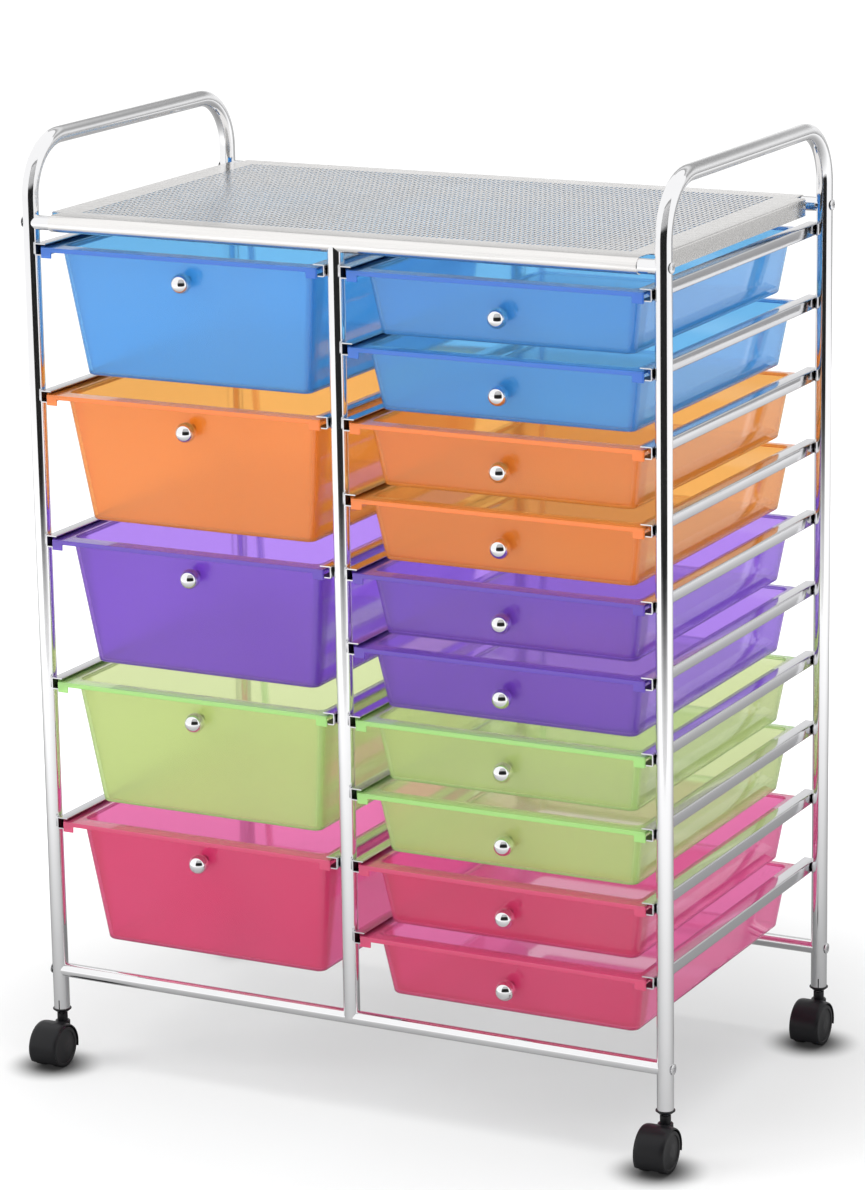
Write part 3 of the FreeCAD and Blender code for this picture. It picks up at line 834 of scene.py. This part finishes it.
# %% Fold the rails
left_low, left_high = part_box("left_rails")
right_low, right_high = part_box("right_rails")
rail_pitch = (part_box(SMALL[0])[1].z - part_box(SMALL[-1])[1].z) / (len(SMALL) - 1)
rail_height = right_high.z - right_low.z - rail_pitch * (len(SMALL) - 1)
rail_size = Vector((left_high.x - left_low.x, left_high.y - left_low.y, rail_height))
rail_top = left_high.z
large_args = (rail_top, 2 * rail_pitch, len(LARGE), rail_size)
small_args = (rail_top, rail_pitch, len(SMALL), rail_size)
rails = {"left_rails": rail_set(POST_R - POST_X, 1, *large_args),
         "centre_rails": joined(rail_set(-POST_R, -1, *large_args), rail_set(POST_R, 1, *small_args)),
         "right_rails": rail_set(POST_X - POST_R, -1, *small_args)}
for name, mesh in rails.items():
    piece("folded_" + name, shaded(mesh), rail_sheet, "chrome_rail", "frame", name)
    marked = sum(mark.value for mark in mesh.attributes["recess"].data)
    print(name, triangles(mesh), "triangles,", round(marked), "faces inside")

# %% [markdown]
# ## Top panel
# The panel is one sheet, punched with rows of short slots, rolled round the front and rear tubes and turned
# down at both sides. The punched field is thousands of equal cells, so a tree sets one cell on a grid. The
# plain margins are drawn with their points at the cells' corners, so that the whole sheet closes, and at
# the end it all gets its thickness at once.

# %% Perforation tree
def perforation_tree():
    tree, given = geometry_tree("perforation", Columns="Int", Rows="Int", Width="Float", Depth="Float",
                                Finish="Material")
    grid = add(tree, "GeometryNodeMeshGrid", Size_X=given.outputs["Width"], Size_Y=given.outputs["Depth"],
               Vertices_X=given.outputs["Columns"], Vertices_Y=given.outputs["Rows"])
    field = add(tree, "GeometryNodeInstanceOnPoints", Points=grid.outputs[0],
                Instance=given.outputs["Geometry"])
    end_tree(tree, given, field.outputs[0])
    return tree


SLOT_PITCH = Vector((4.8 * MM, 10 * MM))
SLOT_HALF = Vector((1.0 * MM, 4.1 * MM))
SLOT_ROUND = 0.6 * MM
COLUMNS, ROWS = 113, 31
FIELD = Vector((COLUMNS * SLOT_PITCH.x / 2, ROWS * SLOT_PITCH.y / 2))


def slot_cell():
    """One cell of the sheet: an oblong with a round-ended slot in it."""
    half = SLOT_PITCH / 2
    outer = [(half.x, half.y), (-half.x, half.y), (-half.x, -half.y), (half.x, -half.y)]
    a, b = SLOT_HALF
    slot = []
    for sx, sy in ((1, 1), (-1, 1), (-1, -1), (1, -1)):
        pair = [(sx * a, sy * (b - SLOT_ROUND)), (sx * (a - SLOT_ROUND), sy * b)]
        slot += pair if sx * sy > 0 else reversed(pair)
    faces = []
    for i in range(4):
        j = (i + 1) % 4
        first, second, third = 4 + 2 * i, 4 + 2 * i + 1, 4 + 2 * j
        faces.append((i, second, first))
        faces.append((i, j, third, second))
    return mesh_of([(x, y, 0) for x, y in outer + slot], faces)


# %% Margins, rolled edges and flanges
PANEL_SHEET = 1.0 * MM
ROLL_HALF = 288 * MM
SIDE_HALF_DEPTH = 158 * MM
FLANGE_BEND = 1.6 * MM
FLANGE_STEPS = 5
ROLL_END_DEG = 290.0
ROLL_STEPS = 18
panel_half = panel_high.x
panel_top = panel_high.z


def strip(rows):
    """Faces between neighbouring rows of points."""
    count = len(rows[0])
    faces = []
    for k in range(len(rows) - 1):
        for i in range(count - 1):
            a, b = k * count + i, (k + 1) * count + i
            faces.append((a, a + 1, b + 1, b))
    return mesh_of([point for row in rows for point in row], faces)


columns_x = [-FIELD.x + i * SLOT_PITCH.x for i in range(COLUMNS + 1)]
rows_y = [MIDDLE_Y - FIELD.y + i * SLOT_PITCH.y for i in range(ROWS + 1)]


def edge_strip():
    """The front margin with its rolled edge, from underneath the tube round to the field."""
    stations = [-ROLL_HALF] + columns_x + [ROLL_HALF]
    profile = [(FRONT_Y + y, TOP_Z + z) for y, z in arc((0, 0), ROLL_R, ROLL_END_DEG, 90, ROLL_STEPS)]
    profile.append((MIDDLE_Y - SIDE_HALF_DEPTH, panel_top))
    profile.append((rows_y[0], panel_top))
    return strip([[(x, y, z) for x in stations] for y, z in profile])


def side_strip():
    """The right margin with the flange that is turned down at its edge."""
    stations = [MIDDLE_Y - SIDE_HALF_DEPTH] + rows_y + [MIDDLE_Y + SIDE_HALF_DEPTH]
    fold = arc((panel_half - FLANGE_BEND, panel_top - FLANGE_BEND), FLANGE_BEND, 90, 0, FLANGE_STEPS)
    profile = [(ROLL_HALF, panel_top)] + fold + [(panel_half, panel_low.z)]
    rows = [[(x, y, z) for x, z in profile] for y in stations]
    margin = [[(x, y, panel_top) for x in (columns_x[-1], ROLL_HALF)] for y in rows_y]
    return joined(strip(rows), strip(margin))


def turned_about_middle(mesh):
    """A copy turned half round about the middle of the panel."""
    middle = Matrix.Translation((0, MIDDLE_Y, 0))
    return moved(mesh, middle @ Matrix.Rotation(math.pi, 4, "Z") @ middle.inverted())


field = grown(perforation_tree(), slot_cell(), Columns=COLUMNS, Rows=ROWS,
              Width=(COLUMNS - 1) * SLOT_PITCH.x, Depth=(ROWS - 1) * SLOT_PITCH.y, Finish=panel_sheet)
field.transform(Matrix.Translation((0, MIDDLE_Y, panel_top)))
front_edge, right_edge = edge_strip(), side_strip()
edges = [edge for side in (front_edge, right_edge) for edge in (side, turned_about_middle(side))]
sheet = joined(field, *edges)
panel = shaded(walled(cleaned(sheet, outwards=False), PANEL_SHEET), crisp=30)
piece("perforated_panel", panel, panel_sheet, "panel_steel", "frame", "top_panel")
print("panel", COLUMNS * ROWS, "slots,", triangles(panel), "triangles")

# %% [markdown]
# ## Pan-head screws
# Eight equal screws hold the cross tubes. One head is turned with a domed top, a cross is cut into it, and a
# tree sets it on the eight places, each turned by a different amount because nobody lines screws up.

# %% Screw head
HEAD_STEPS = 32
HEAD_EDGE = 0.42
HEAD_CHAMFER = 0.1 * MM
RECESS_WIDTH = 1.0 * MM
RECESS_REACH = 0.52
RECESS_FLOOR = 0.45


def pan_head(radius, height, shank_radius, shank):
    """A pan head on the plane z = 0 with a short shank under it and a cross recess in its top."""
    edge = HEAD_EDGE * height
    dome = [(radius * math.cos(math.radians(a)), edge + (height - edge) * math.sin(math.radians(a)))
            for a in range(0, 90, 15)]
    profile = [(0, -shank), (shank_radius, -shank), (shank_radius, 0), (radius - HEAD_CHAMFER, 0),
               (radius, HEAD_CHAMFER)] + dome + [(0, height)]
    half, wide = RECESS_REACH * radius, RECESS_WIDTH / 2
    arms = []
    for angle in (0, math.pi / 2):
        turn = Matrix.Rotation(angle, 4, "Z")
        loops = [[turn @ Vector((sx * half, sy * wide, z)) for sx, sy in ((-1, -1), (1, -1), (1, 1), (-1, 1))]
                 for z in (RECESS_FLOOR * height, 2 * height)]
        arms.append(cleaned(loft(loops)))
    return shaded(merged("DIFFERENCE", turned(profile, HEAD_STEPS), *arms), crisp=25)


# %% Screw tree
def screw_tree():
    tree, given = geometry_tree("screws", Screw="Object", Seed="Int", Finish="Material")
    shape = add(tree, "GeometryNodeObjectInfo", Object=given.outputs["Screw"])
    facing = add(tree, "GeometryNodeInputNamedAttribute", {"data_type": "FLOAT_VECTOR"}, Name="facing")
    aimed = add(tree, "FunctionNodeAlignRotationToVector", {"axis": "Z"}, Vector=facing.outputs[0])
    turn = add(tree, "FunctionNodeRandomValue", {"data_type": "FLOAT"}, Seed=given.outputs["Seed"])
    spin = add(tree, "ShaderNodeCombineXYZ", Z=combined(tree, turn.outputs[1], math.pi))
    spun = add(tree, "FunctionNodeRotateRotation", {"rotation_space": "LOCAL"}, Rotation=aimed.outputs[0],
               Rotate_By=spin.outputs[0])
    placed = add(tree, "GeometryNodeInstanceOnPoints", Points=given.outputs["Geometry"],
                 Instance=shape.outputs["Geometry"], Rotation=spun.outputs[0])
    end_tree(tree, given, placed.outputs[0])
    return tree


SCREW_SHANK_R = 2.5 * MM
SCREW_SHANK = 2.0 * MM
SCREW_SEED = 4
screw_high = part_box("frame_screws")[1]
seat_x = POST_X + POST_R
head_radius, head_height = screw_high.z - TOP_Z, screw_high.x - seat_x
head = carried(pan_head(head_radius, head_height, SCREW_SHANK_R, SCREW_SHANK))
seats = [(side, y, z) for side in (-1, 1) for y in (FRONT_Y, REAR_Y) for z in (BOTTOM_Z, TOP_Z)]
places = mesh_of([(side * seat_x, y, z) for side, y, z in seats], [])
facing = [value for side, y, z in seats for value in (side, 0, 0)]
places.attributes.new("facing", "FLOAT_VECTOR", "POINT").data.foreach_set("vector", facing)
screws = grown(screw_tree(), places, Screw=head, Seed=SCREW_SEED, Finish=chrome_screw)
bpy.data.objects.remove(head)
piece("pan_head_screws", shaded(screws, crisp=25), chrome_screw, "screw_steel", "frame", "frame_screws")
print("screws", len(seats), "with", triangles(screws), "triangles")

# %% [markdown]
# ## Drawers
# A drawer is one thin moulding: a tub with leaning walls and rounded corners, a flat rim with a skirt that
# runs in the rails, and a front lip with a deeper tab at each end that stops against the rails. It is a
# single skin with an inside and an outside, so it is lofted as one closed surface: up the outside of the
# wall, out under the rim, round the skirt, back over the rim and down the inside.

# %% Drawer outlines
RIM_SHEET = 2.0 * MM
LIP_SHEET = 1.5 * MM
LIP_HEIGHT = 4.0 * MM
TAB_HEIGHT = 9.5 * MM
TAB_WIDTH = 10.5 * MM
SKIRT_HEIGHT = 6.4 * MM
LIP_STEP = 5.0 * MM
RIM_BEHIND_LIP = 9.2 * MM
TUB_BEHIND_LIP = 14.7 * MM
TUB_SIDE_INSET = 15.5 * MM
TUB_REAR_INSET = 5.0 * MM
TUB_WALL = 2.0 * MM
TUB_FLOOR = 2.2 * MM
CORNER_R = 8.0 * MM
CORNER_STEPS = 7
STEP_GAP = 0.1 * MM
LIP_CORNER = 1.2 * MM
RIM_CORNER = 3.0 * MM


class Drawer:
    """The outlines of one drawer, worked out from the box of its CAD node. Outlines run counter-clockwise."""

    def __init__(self, node, lean):
        low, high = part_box(node)
        self.middle = (low.x + high.x) / 2
        self.half = (high.x - low.x) / 2
        self.front, self.rear = low.y, high.y
        self.top, self.low = high.z, low.z
        self.slope = lean / (self.top - self.low)
        lip_half = self.half - LIP_STEP
        tab = lip_half - TAB_WIDTH
        third = tab / 3
        self.along = [-tab - STEP_GAP, -tab + STEP_GAP, -2 * third, -third, 0, third, 2 * third,
                      tab - STEP_GAP, tab + STEP_GAP]

    def tub(self, inset, z):
        """The rounded oblong of the wall at a height, set in from the outer face."""
        inset += self.slope * (self.top - z)
        half = self.half - TUB_SIDE_INSET - inset
        y0, y1 = self.front + TUB_BEHIND_LIP + inset, self.rear - TUB_REAR_INSET - inset
        r = CORNER_R - 0.5 * min(inset, TUB_WALL)
        straight = half - r
        centres = [(-straight, y0 + r, 180), (straight, y0 + r, 270),
                   (straight, y1 - r, 0), (-straight, y1 - r, 90)]
        corners = [arc((x, y), r, start, start + 90, CORNER_STEPS) for x, y, start in centres]
        front = [(x * straight / (self.half - LIP_STEP), y0) for x in self.along]
        return self.placed(corners[0] + front + corners[1] + corners[2] + corners[3], z)

    def rim(self, inset, z):
        """The outline of the rim, with the step at the front where the lip is narrower than the rim."""
        half, lip_half = self.half - inset, self.half - LIP_STEP - inset
        step_y = self.front + RIM_BEHIND_LIP + inset
        face_y = self.front + min(inset, LIP_SHEET)
        back_y = self.front + LIP_SHEET
        r = max(LIP_CORNER - inset, STEP_GAP)
        left = [(-half, step_y + RIM_SHEET), (-half, step_y), (-lip_half, step_y),
                (-lip_half, back_y + STEP_GAP), (-lip_half, max(back_y - STEP_GAP, face_y + r))]
        left += arc((-lip_half + r, face_y + r), r, 180, 270, 3)[1:]
        right = [(-x, y) for x, y in reversed(left)]
        front = [(x, face_y) for x in self.along]
        r = max(RIM_CORNER - inset, STEP_GAP)
        y1 = self.rear - inset
        behind = arc((half - r, y1 - r), r, 0, 90, CORNER_STEPS)
        behind += arc((r - half, y1 - r), r, 90, 180, CORNER_STEPS)
        return self.placed(left + front + right + behind, z)

    def skirt(self):
        """How far the rim's edge hangs down at each point of its outline."""
        left = [SKIRT_HEIGHT, SKIRT_HEIGHT, RIM_SHEET + STEP_GAP, RIM_SHEET + STEP_GAP] + [TAB_HEIGHT] * 4
        front = [TAB_HEIGHT] + [LIP_HEIGHT] * (len(self.along) - 2) + [TAB_HEIGHT]
        half_turn = (CORNER_STEPS + 1) // 2
        turn = [SKIRT_HEIGHT] * half_turn + [LIP_HEIGHT] * half_turn
        return left + front + left[::-1] + turn + turn[::-1]

    def corner_shades(self):
        """How much painted shade deepens the colour at each point of a tub outline: the rounded corners get
        it.
        """
        corner = [CORNER_SHADE * math.sin(math.pi * i / CORNER_STEPS) for i in range(CORNER_STEPS + 1)]
        return corner + [0.0] * len(self.along) + 3 * corner

    def placed(self, points, z):
        heights = z if isinstance(z, list) else [z] * len(points)
        return [Vector((self.middle + x, y, height)) for (x, y), height in zip(points, heights)]


# %% Drawer skin
FLOOR_ROUND = 2.6 * MM
INNER_ROUND = 2.6 * MM
UNDER_ROUND = 1.5 * MM
RIM_ROUND = 0.7 * MM
SKIRT_ROUND = 0.35 * MM
WALL_START = 1.6 * FLOOR_ROUND
UNDER_STEP = 0.45 * MM
ROUND_STEPS = 4
RIM_STEPS = 3
# Painted shade: how much deeper the tub's rounded corners and its floor are coloured.
CORNER_SHADE = 0.45
TUB_FLOOR_SHADE = 0.55


def rounding(size, steps):
    """Steps from a flat to a wall: how far in from the wall and how far off the flat each one lies."""
    angles = [math.pi / 2 * i / steps for i in range(steps + 1)]
    return [(size * (1 - math.sin(a)), size * (1 - math.cos(a))) for a in angles]


def drawer_skin(d):
    """The closed skin of a drawer, with the points marked where painted shade deepens its colour."""
    under = d.top - RIM_SHEET
    hang = [d.top - drop for drop in d.skirt()]
    loops = [d.tub(inset, d.low + rise) for inset, rise in rounding(FLOOR_ROUND, ROUND_STEPS)]
    floor_loops = range(1, len(loops))
    loops.append(d.tub(0, d.low + WALL_START))
    loops.append(d.tub(0, under - UNDER_ROUND))
    loops += [d.tub(step - UNDER_ROUND, under - step) for step in (UNDER_STEP, 0)]
    first_rim = len(loops)
    loops.append(d.rim(RIM_SHEET, under))
    loops.append(d.rim(RIM_SHEET, [z + SKIRT_ROUND / 4 for z in hang]))
    loops.append(d.rim(RIM_SHEET - SKIRT_ROUND, hang))
    loops.append(d.rim(SKIRT_ROUND, hang))
    loops.append(d.rim(0, [z + SKIRT_ROUND for z in hang]))
    rim_round = rounding(RIM_ROUND, RIM_STEPS)
    loops += [d.rim(inset, d.top - rise) for inset, rise in reversed(rim_round)]
    rim_loops = range(first_rim, len(loops))
    loops += [d.tub(TUB_WALL - inset, d.top - rise) for inset, rise in rim_round]
    inner_round = rounding(INNER_ROUND, ROUND_STEPS)
    loops += [d.tub(TUB_WALL + inset, d.low + TUB_FLOOR + rise) for inset, rise in reversed(inner_round)]
    skin = loft(loops)
    tints = [d.corner_shades()] * len(loops)
    for k in floor_loops:
        tints[k] = [max(TUB_FLOOR_SHADE, tint) for tint in tints[k]]
    for k in rim_loops:
        tints[k] = [1.0] * len(loops[k])
    edge = [tint for row in tints for tint in row]
    skin.attributes.new("edge", "FLOAT", "POINT").data.foreach_set("value", edge)
    return weighted(shaded(cleaned(skin), crisp=50))


# %% [markdown]
# ## Ball knobs
# Each drawer has a chromed ball on a short neck, held by a screw from inside the tub. It is a turned piece:
# a waisted neck and a sphere. The front wall leans, so the knob is turned with it.

# %% Knob
BALL_R = 9.2 * MM
BALL_REACH = 10.4 * MM
NECK_R = 3.8 * MM
WAIST_R = 2.7 * MM
FLARE = 0.3 * MM
FLARE_HEIGHT = 0.4 * MM
BALL_STEPS = 20
KNOB_STEPS = 40
KNOB_SCREW_R = 4.0 * MM
KNOB_SCREW_HEIGHT = 2.4 * MM
KNOB_SHANK_R = 2.0 * MM
KNOB_SHANK = 0.5 * MM


def ball_knob():
    """A knob about Z with its seat at the origin, and the head of its screw on the other side of the wall."""
    meet = math.degrees(math.asin(NECK_R / BALL_R))
    ball = arc((0, BALL_REACH), BALL_R, meet - 90, 90, BALL_STEPS)
    rise = BALL_REACH - math.sqrt(BALL_R ** 2 - NECK_R ** 2)
    profile = [(0, 0), (WAIST_R + FLARE, 0), (WAIST_R, FLARE_HEIGHT), (WAIST_R, 0.5 * rise),
               ((WAIST_R + NECK_R) / 2, 0.85 * rise)]
    knob = turned(profile + ball[:-1] + [(0, BALL_REACH + BALL_R)], KNOB_STEPS)
    screw = pan_head(KNOB_SCREW_R, KNOB_SCREW_HEIGHT, KNOB_SHANK_R, KNOB_SHANK)
    flip = Matrix.Translation((0, 0, -TUB_WALL)) @ Matrix.Rotation(math.pi, 4, "X")
    return shaded(joined(knob, moved(screw, flip)), crisp=30)


knob_shape = ball_knob()

# %% Hang the drawers in their rails
COLOUR_ORDER = list(DRAWER_COLOURS)
KINDS = ((LARGE, 1, 15 * MM, 23 * MM), (SMALL, 2, 9 * MM, 31.5 * MM))
for nodes, each, lean, knob_drop in KINDS:
    for index, node in enumerate(nodes):
        colour = COLOUR_ORDER[index // each]
        body = node + "_body"
        drawer = Drawer(node, lean)
        skin = drawer_skin(drawer)
        tub = piece(node + "_tub", skin, drawer_finish[colour], colour + "_plastic", body, node)
        tub.visible_diffuse = False
        wall_y = drawer.front + TUB_BEHIND_LIP + drawer.slope * knob_drop
        seat = Matrix.Translation((drawer.middle, wall_y, drawer.top - knob_drop))
        tilt = Matrix.Rotation(math.pi / 2 + math.atan(drawer.slope), 4, "X")
        knob = moved(knob_shape, seat @ tilt)
        knob_node = node.replace("drawer", "knob")
        piece(knob_node + "_ball", knob, chrome_knob, "knob_chrome", body, knob_node)
    print(nodes[0], "and its like:", triangles(skin), "triangles each")

# %% [markdown]
# ## Casters
# A caster has a hood over two wheels, a boss that holds the stem, and a socket pressed into the post. The
# hood is lofted round the axle with softened shoulders, the boss and the web between the wheels are joined
# to it, and the wheels are turned with a rounded tread and a shallow dish in the outer face.

# %% Caster hood
HOOD_SHEET = 2.0 * MM
HOOD_ARC = (-14.0, 213.0)
HOOD_STEPS = 40
SHOULDER = Vector((5.0 * MM, 1.5 * MM))
BOSS_R = 7.0 * MM
BOSS_LOW = 28 * MM
BOSS_TOP = 39 * MM
CASTER_NECK_R = 4.9 * MM
WEB_HALF = 3.7 * MM
HOOD_EDGE = 0.3 * MM
BOSS_ROUND = 1.0 * MM
NECK_ROUND = 0.4 * MM
SHOULDER_STEPS = 6
WEB_STEPS = 20
BOSS_STEPS = 40
wheel_low, wheel_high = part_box("front_left_caster_wheels")
hood_low, hood_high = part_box("front_left_caster_housing")
WHEEL_R = (wheel_high.z - wheel_low.z) / 2
WHEEL_OUT = (wheel_high.x - wheel_low.x) / 2
TRAIL = FRONT_Y - (wheel_low.y + wheel_high.y) / 2
HOOD_HALF = (hood_high.x - hood_low.x) / 2
HOOD_R = FRONT_Y - TRAIL - hood_low.y
NECK_TOP = hood_high.z


def hood_section():
    """Across the hood: (x, distance from the axle), over the top with soft shoulders and back underneath."""
    inner = HOOD_R - HOOD_SHEET
    flat_x = HOOD_HALF - SHOULDER.x
    right = []
    for i in range(SHOULDER_STEPS + 1):
        angle = math.pi / 2 * i / SHOULDER_STEPS
        right.append((flat_x + SHOULDER.x * math.sin(angle), HOOD_R - SHOULDER.y * (1 - math.cos(angle))))
    right.append((HOOD_HALF - HOOD_EDGE, inner))
    return [(-x, r) for x, r in reversed(right)] + right


def about_axle(x, distance, angle):
    return Vector((x, -TRAIL + distance * math.cos(angle), WHEEL_R + distance * math.sin(angle)))


def hood_angles(steps):
    """Angles about the axle from the hood's one end to the other."""
    start, end = HOOD_ARC
    return [math.radians(start + (end - start) * i / steps) for i in range(steps + 1)]


def hood_shell():
    section = hood_section()
    return cleaned(loft([[about_axle(x, r, angle) for x, r in section] for angle in hood_angles(HOOD_STEPS)]))


def hood_web():
    """The plate between the wheels that carries the axle."""
    reach = HOOD_R - HOOD_SHEET / 2
    return cleaned(loft([[about_axle(x, reach, angle) for angle in hood_angles(WEB_STEPS)]
                         for x in (-WEB_HALF, WEB_HALF)]))


def caster_boss():
    """The boss on the hood and the neck above it, turned about the stem."""
    shoulder = arc((BOSS_R - BOSS_ROUND, BOSS_TOP - BOSS_ROUND), BOSS_ROUND, 0, 90, 3)
    neck = arc((CASTER_NECK_R - NECK_ROUND, NECK_TOP - NECK_ROUND), NECK_ROUND, 0, 90, 2)
    profile = [(0, BOSS_LOW), (BOSS_R, BOSS_LOW)] + shoulder + [(CASTER_NECK_R, BOSS_TOP)] + neck
    return turned(profile + [(0, NECK_TOP)], BOSS_STEPS)


hood = shaded(merged("UNION", hood_shell(), hood_web(), caster_boss()), crisp=30)

# %% Wheels and sockets
WHEEL_IN = 4.4 * MM
TREAD_ROUND = 1.8 * MM
AXLE_BORE = 3.05 * MM
BORE_END = 1.2 * MM
DISH_R = 15.8 * MM
DISH_DEEP = 0.9 * MM
DISH_EDGE = 0.5 * MM
HUB_R = 5.0 * MM
HUB_SLOPE = 1.2 * MM
HUB_EDGE = 0.1 * MM
TREAD_STEPS = 5
WHEEL_STEPS = 56
COLLAR_R = 8.8 * MM
COLLAR_LOW = 47.6 * MM
COLLAR_LOW_R = 5.4 * MM
COLLAR_ROUND = 0.8 * MM
COLLAR_STEPS = 40
STEM_BORE = 3.05 * MM
PLUG_GAP = 0.05 * MM
PLUG_LENGTH = 20 * MM


def wheel_profile():
    """(radius, x) from the axle round the tread to the dish and the hub cap in the outer face."""
    out = WHEEL_OUT
    inner_edge = arc((WHEEL_R - TREAD_ROUND, WHEEL_IN + TREAD_ROUND), TREAD_ROUND, -90, 0, TREAD_STEPS)
    outer_edge = arc((WHEEL_R - TREAD_ROUND, out - TREAD_ROUND), TREAD_ROUND, 0, 90, TREAD_STEPS)
    dish = [(DISH_R, out), (DISH_R - DISH_EDGE, out - DISH_DEEP), (HUB_R + HUB_SLOPE, out - 0.6 * DISH_DEEP),
            (HUB_R, out - HUB_EDGE), (0.6 * HUB_R, out), (0, out)]
    bore = [(0, out - BORE_END), (AXLE_BORE, out - BORE_END), (AXLE_BORE, WHEEL_IN)]
    return bore + inner_edge + outer_edge + dish


def wheel_pair():
    axle = Matrix.Translation((0, -TRAIL, WHEEL_R))
    pair = []
    for side in (-1, 1):
        aim = Matrix.Rotation(side * math.pi / 2, 4, "Y")
        pair.append(turned(wheel_profile(), WHEEL_STEPS, axle @ aim))
    return shaded(joined(*pair), crisp=28)


def socket_collar():
    """The collar under a post, and the plug that is pressed into the tube."""
    plug = POST_R - TUBE_WALL - PLUG_GAP
    plug_top = FOOT_Z + PLUG_LENGTH
    low = [(STEM_BORE, COLLAR_LOW), (COLLAR_LOW_R, COLLAR_LOW)]
    side = arc((COLLAR_R - COLLAR_ROUND, FOOT_Z - COLLAR_ROUND), COLLAR_ROUND, -30, 90, 6)
    top = [(plug, FOOT_Z), (plug, plug_top), (STEM_BORE, plug_top)]
    return shaded(turned(low + side + top, COLLAR_STEPS), crisp=30)


wheels, collar = wheel_pair(), socket_collar()
for name, (x, y) in FEET.items():
    place = Matrix.Translation((x, y, 0))
    piece(name + "_hood", moved(hood, place), black_nylon, "black_plastic", name + "_caster",
          name + "_caster_housing")
    piece(name + "_twin_wheels", moved(wheels, place), wheel_nylon, "wheel_plastic", name + "_wheels",
          name + "_caster_wheels")
collars = joined(*[moved(collar, Matrix.Translation((x, y, 0))) for x, y in FEET.values()])
piece("post_collars", shaded(collars, crisp=30), black_nylon, "black_plastic", "frame", "caster_sockets")
print("hood", triangles(hood), "wheels", triangles(wheels), "collar", triangles(collar), "triangles")

# %% [markdown]
# ## Pieces that stay as they are
# The threaded inserts, stems and axles are plain turned steel and sit out of sight, so the CAD meshes are
# already right. They only need a finish.

# %% Finish the inner pieces
inner_nodes = ["tube_inserts"] + [foot + tail for foot in FEET for tail in ("_caster_stem", "_caster_axle")]
for node in inner_nodes:
    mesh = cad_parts[node].data
    mesh.materials.clear()
    mesh.materials.append(plain_steel)
print("steel pieces inside", len(inner_nodes))
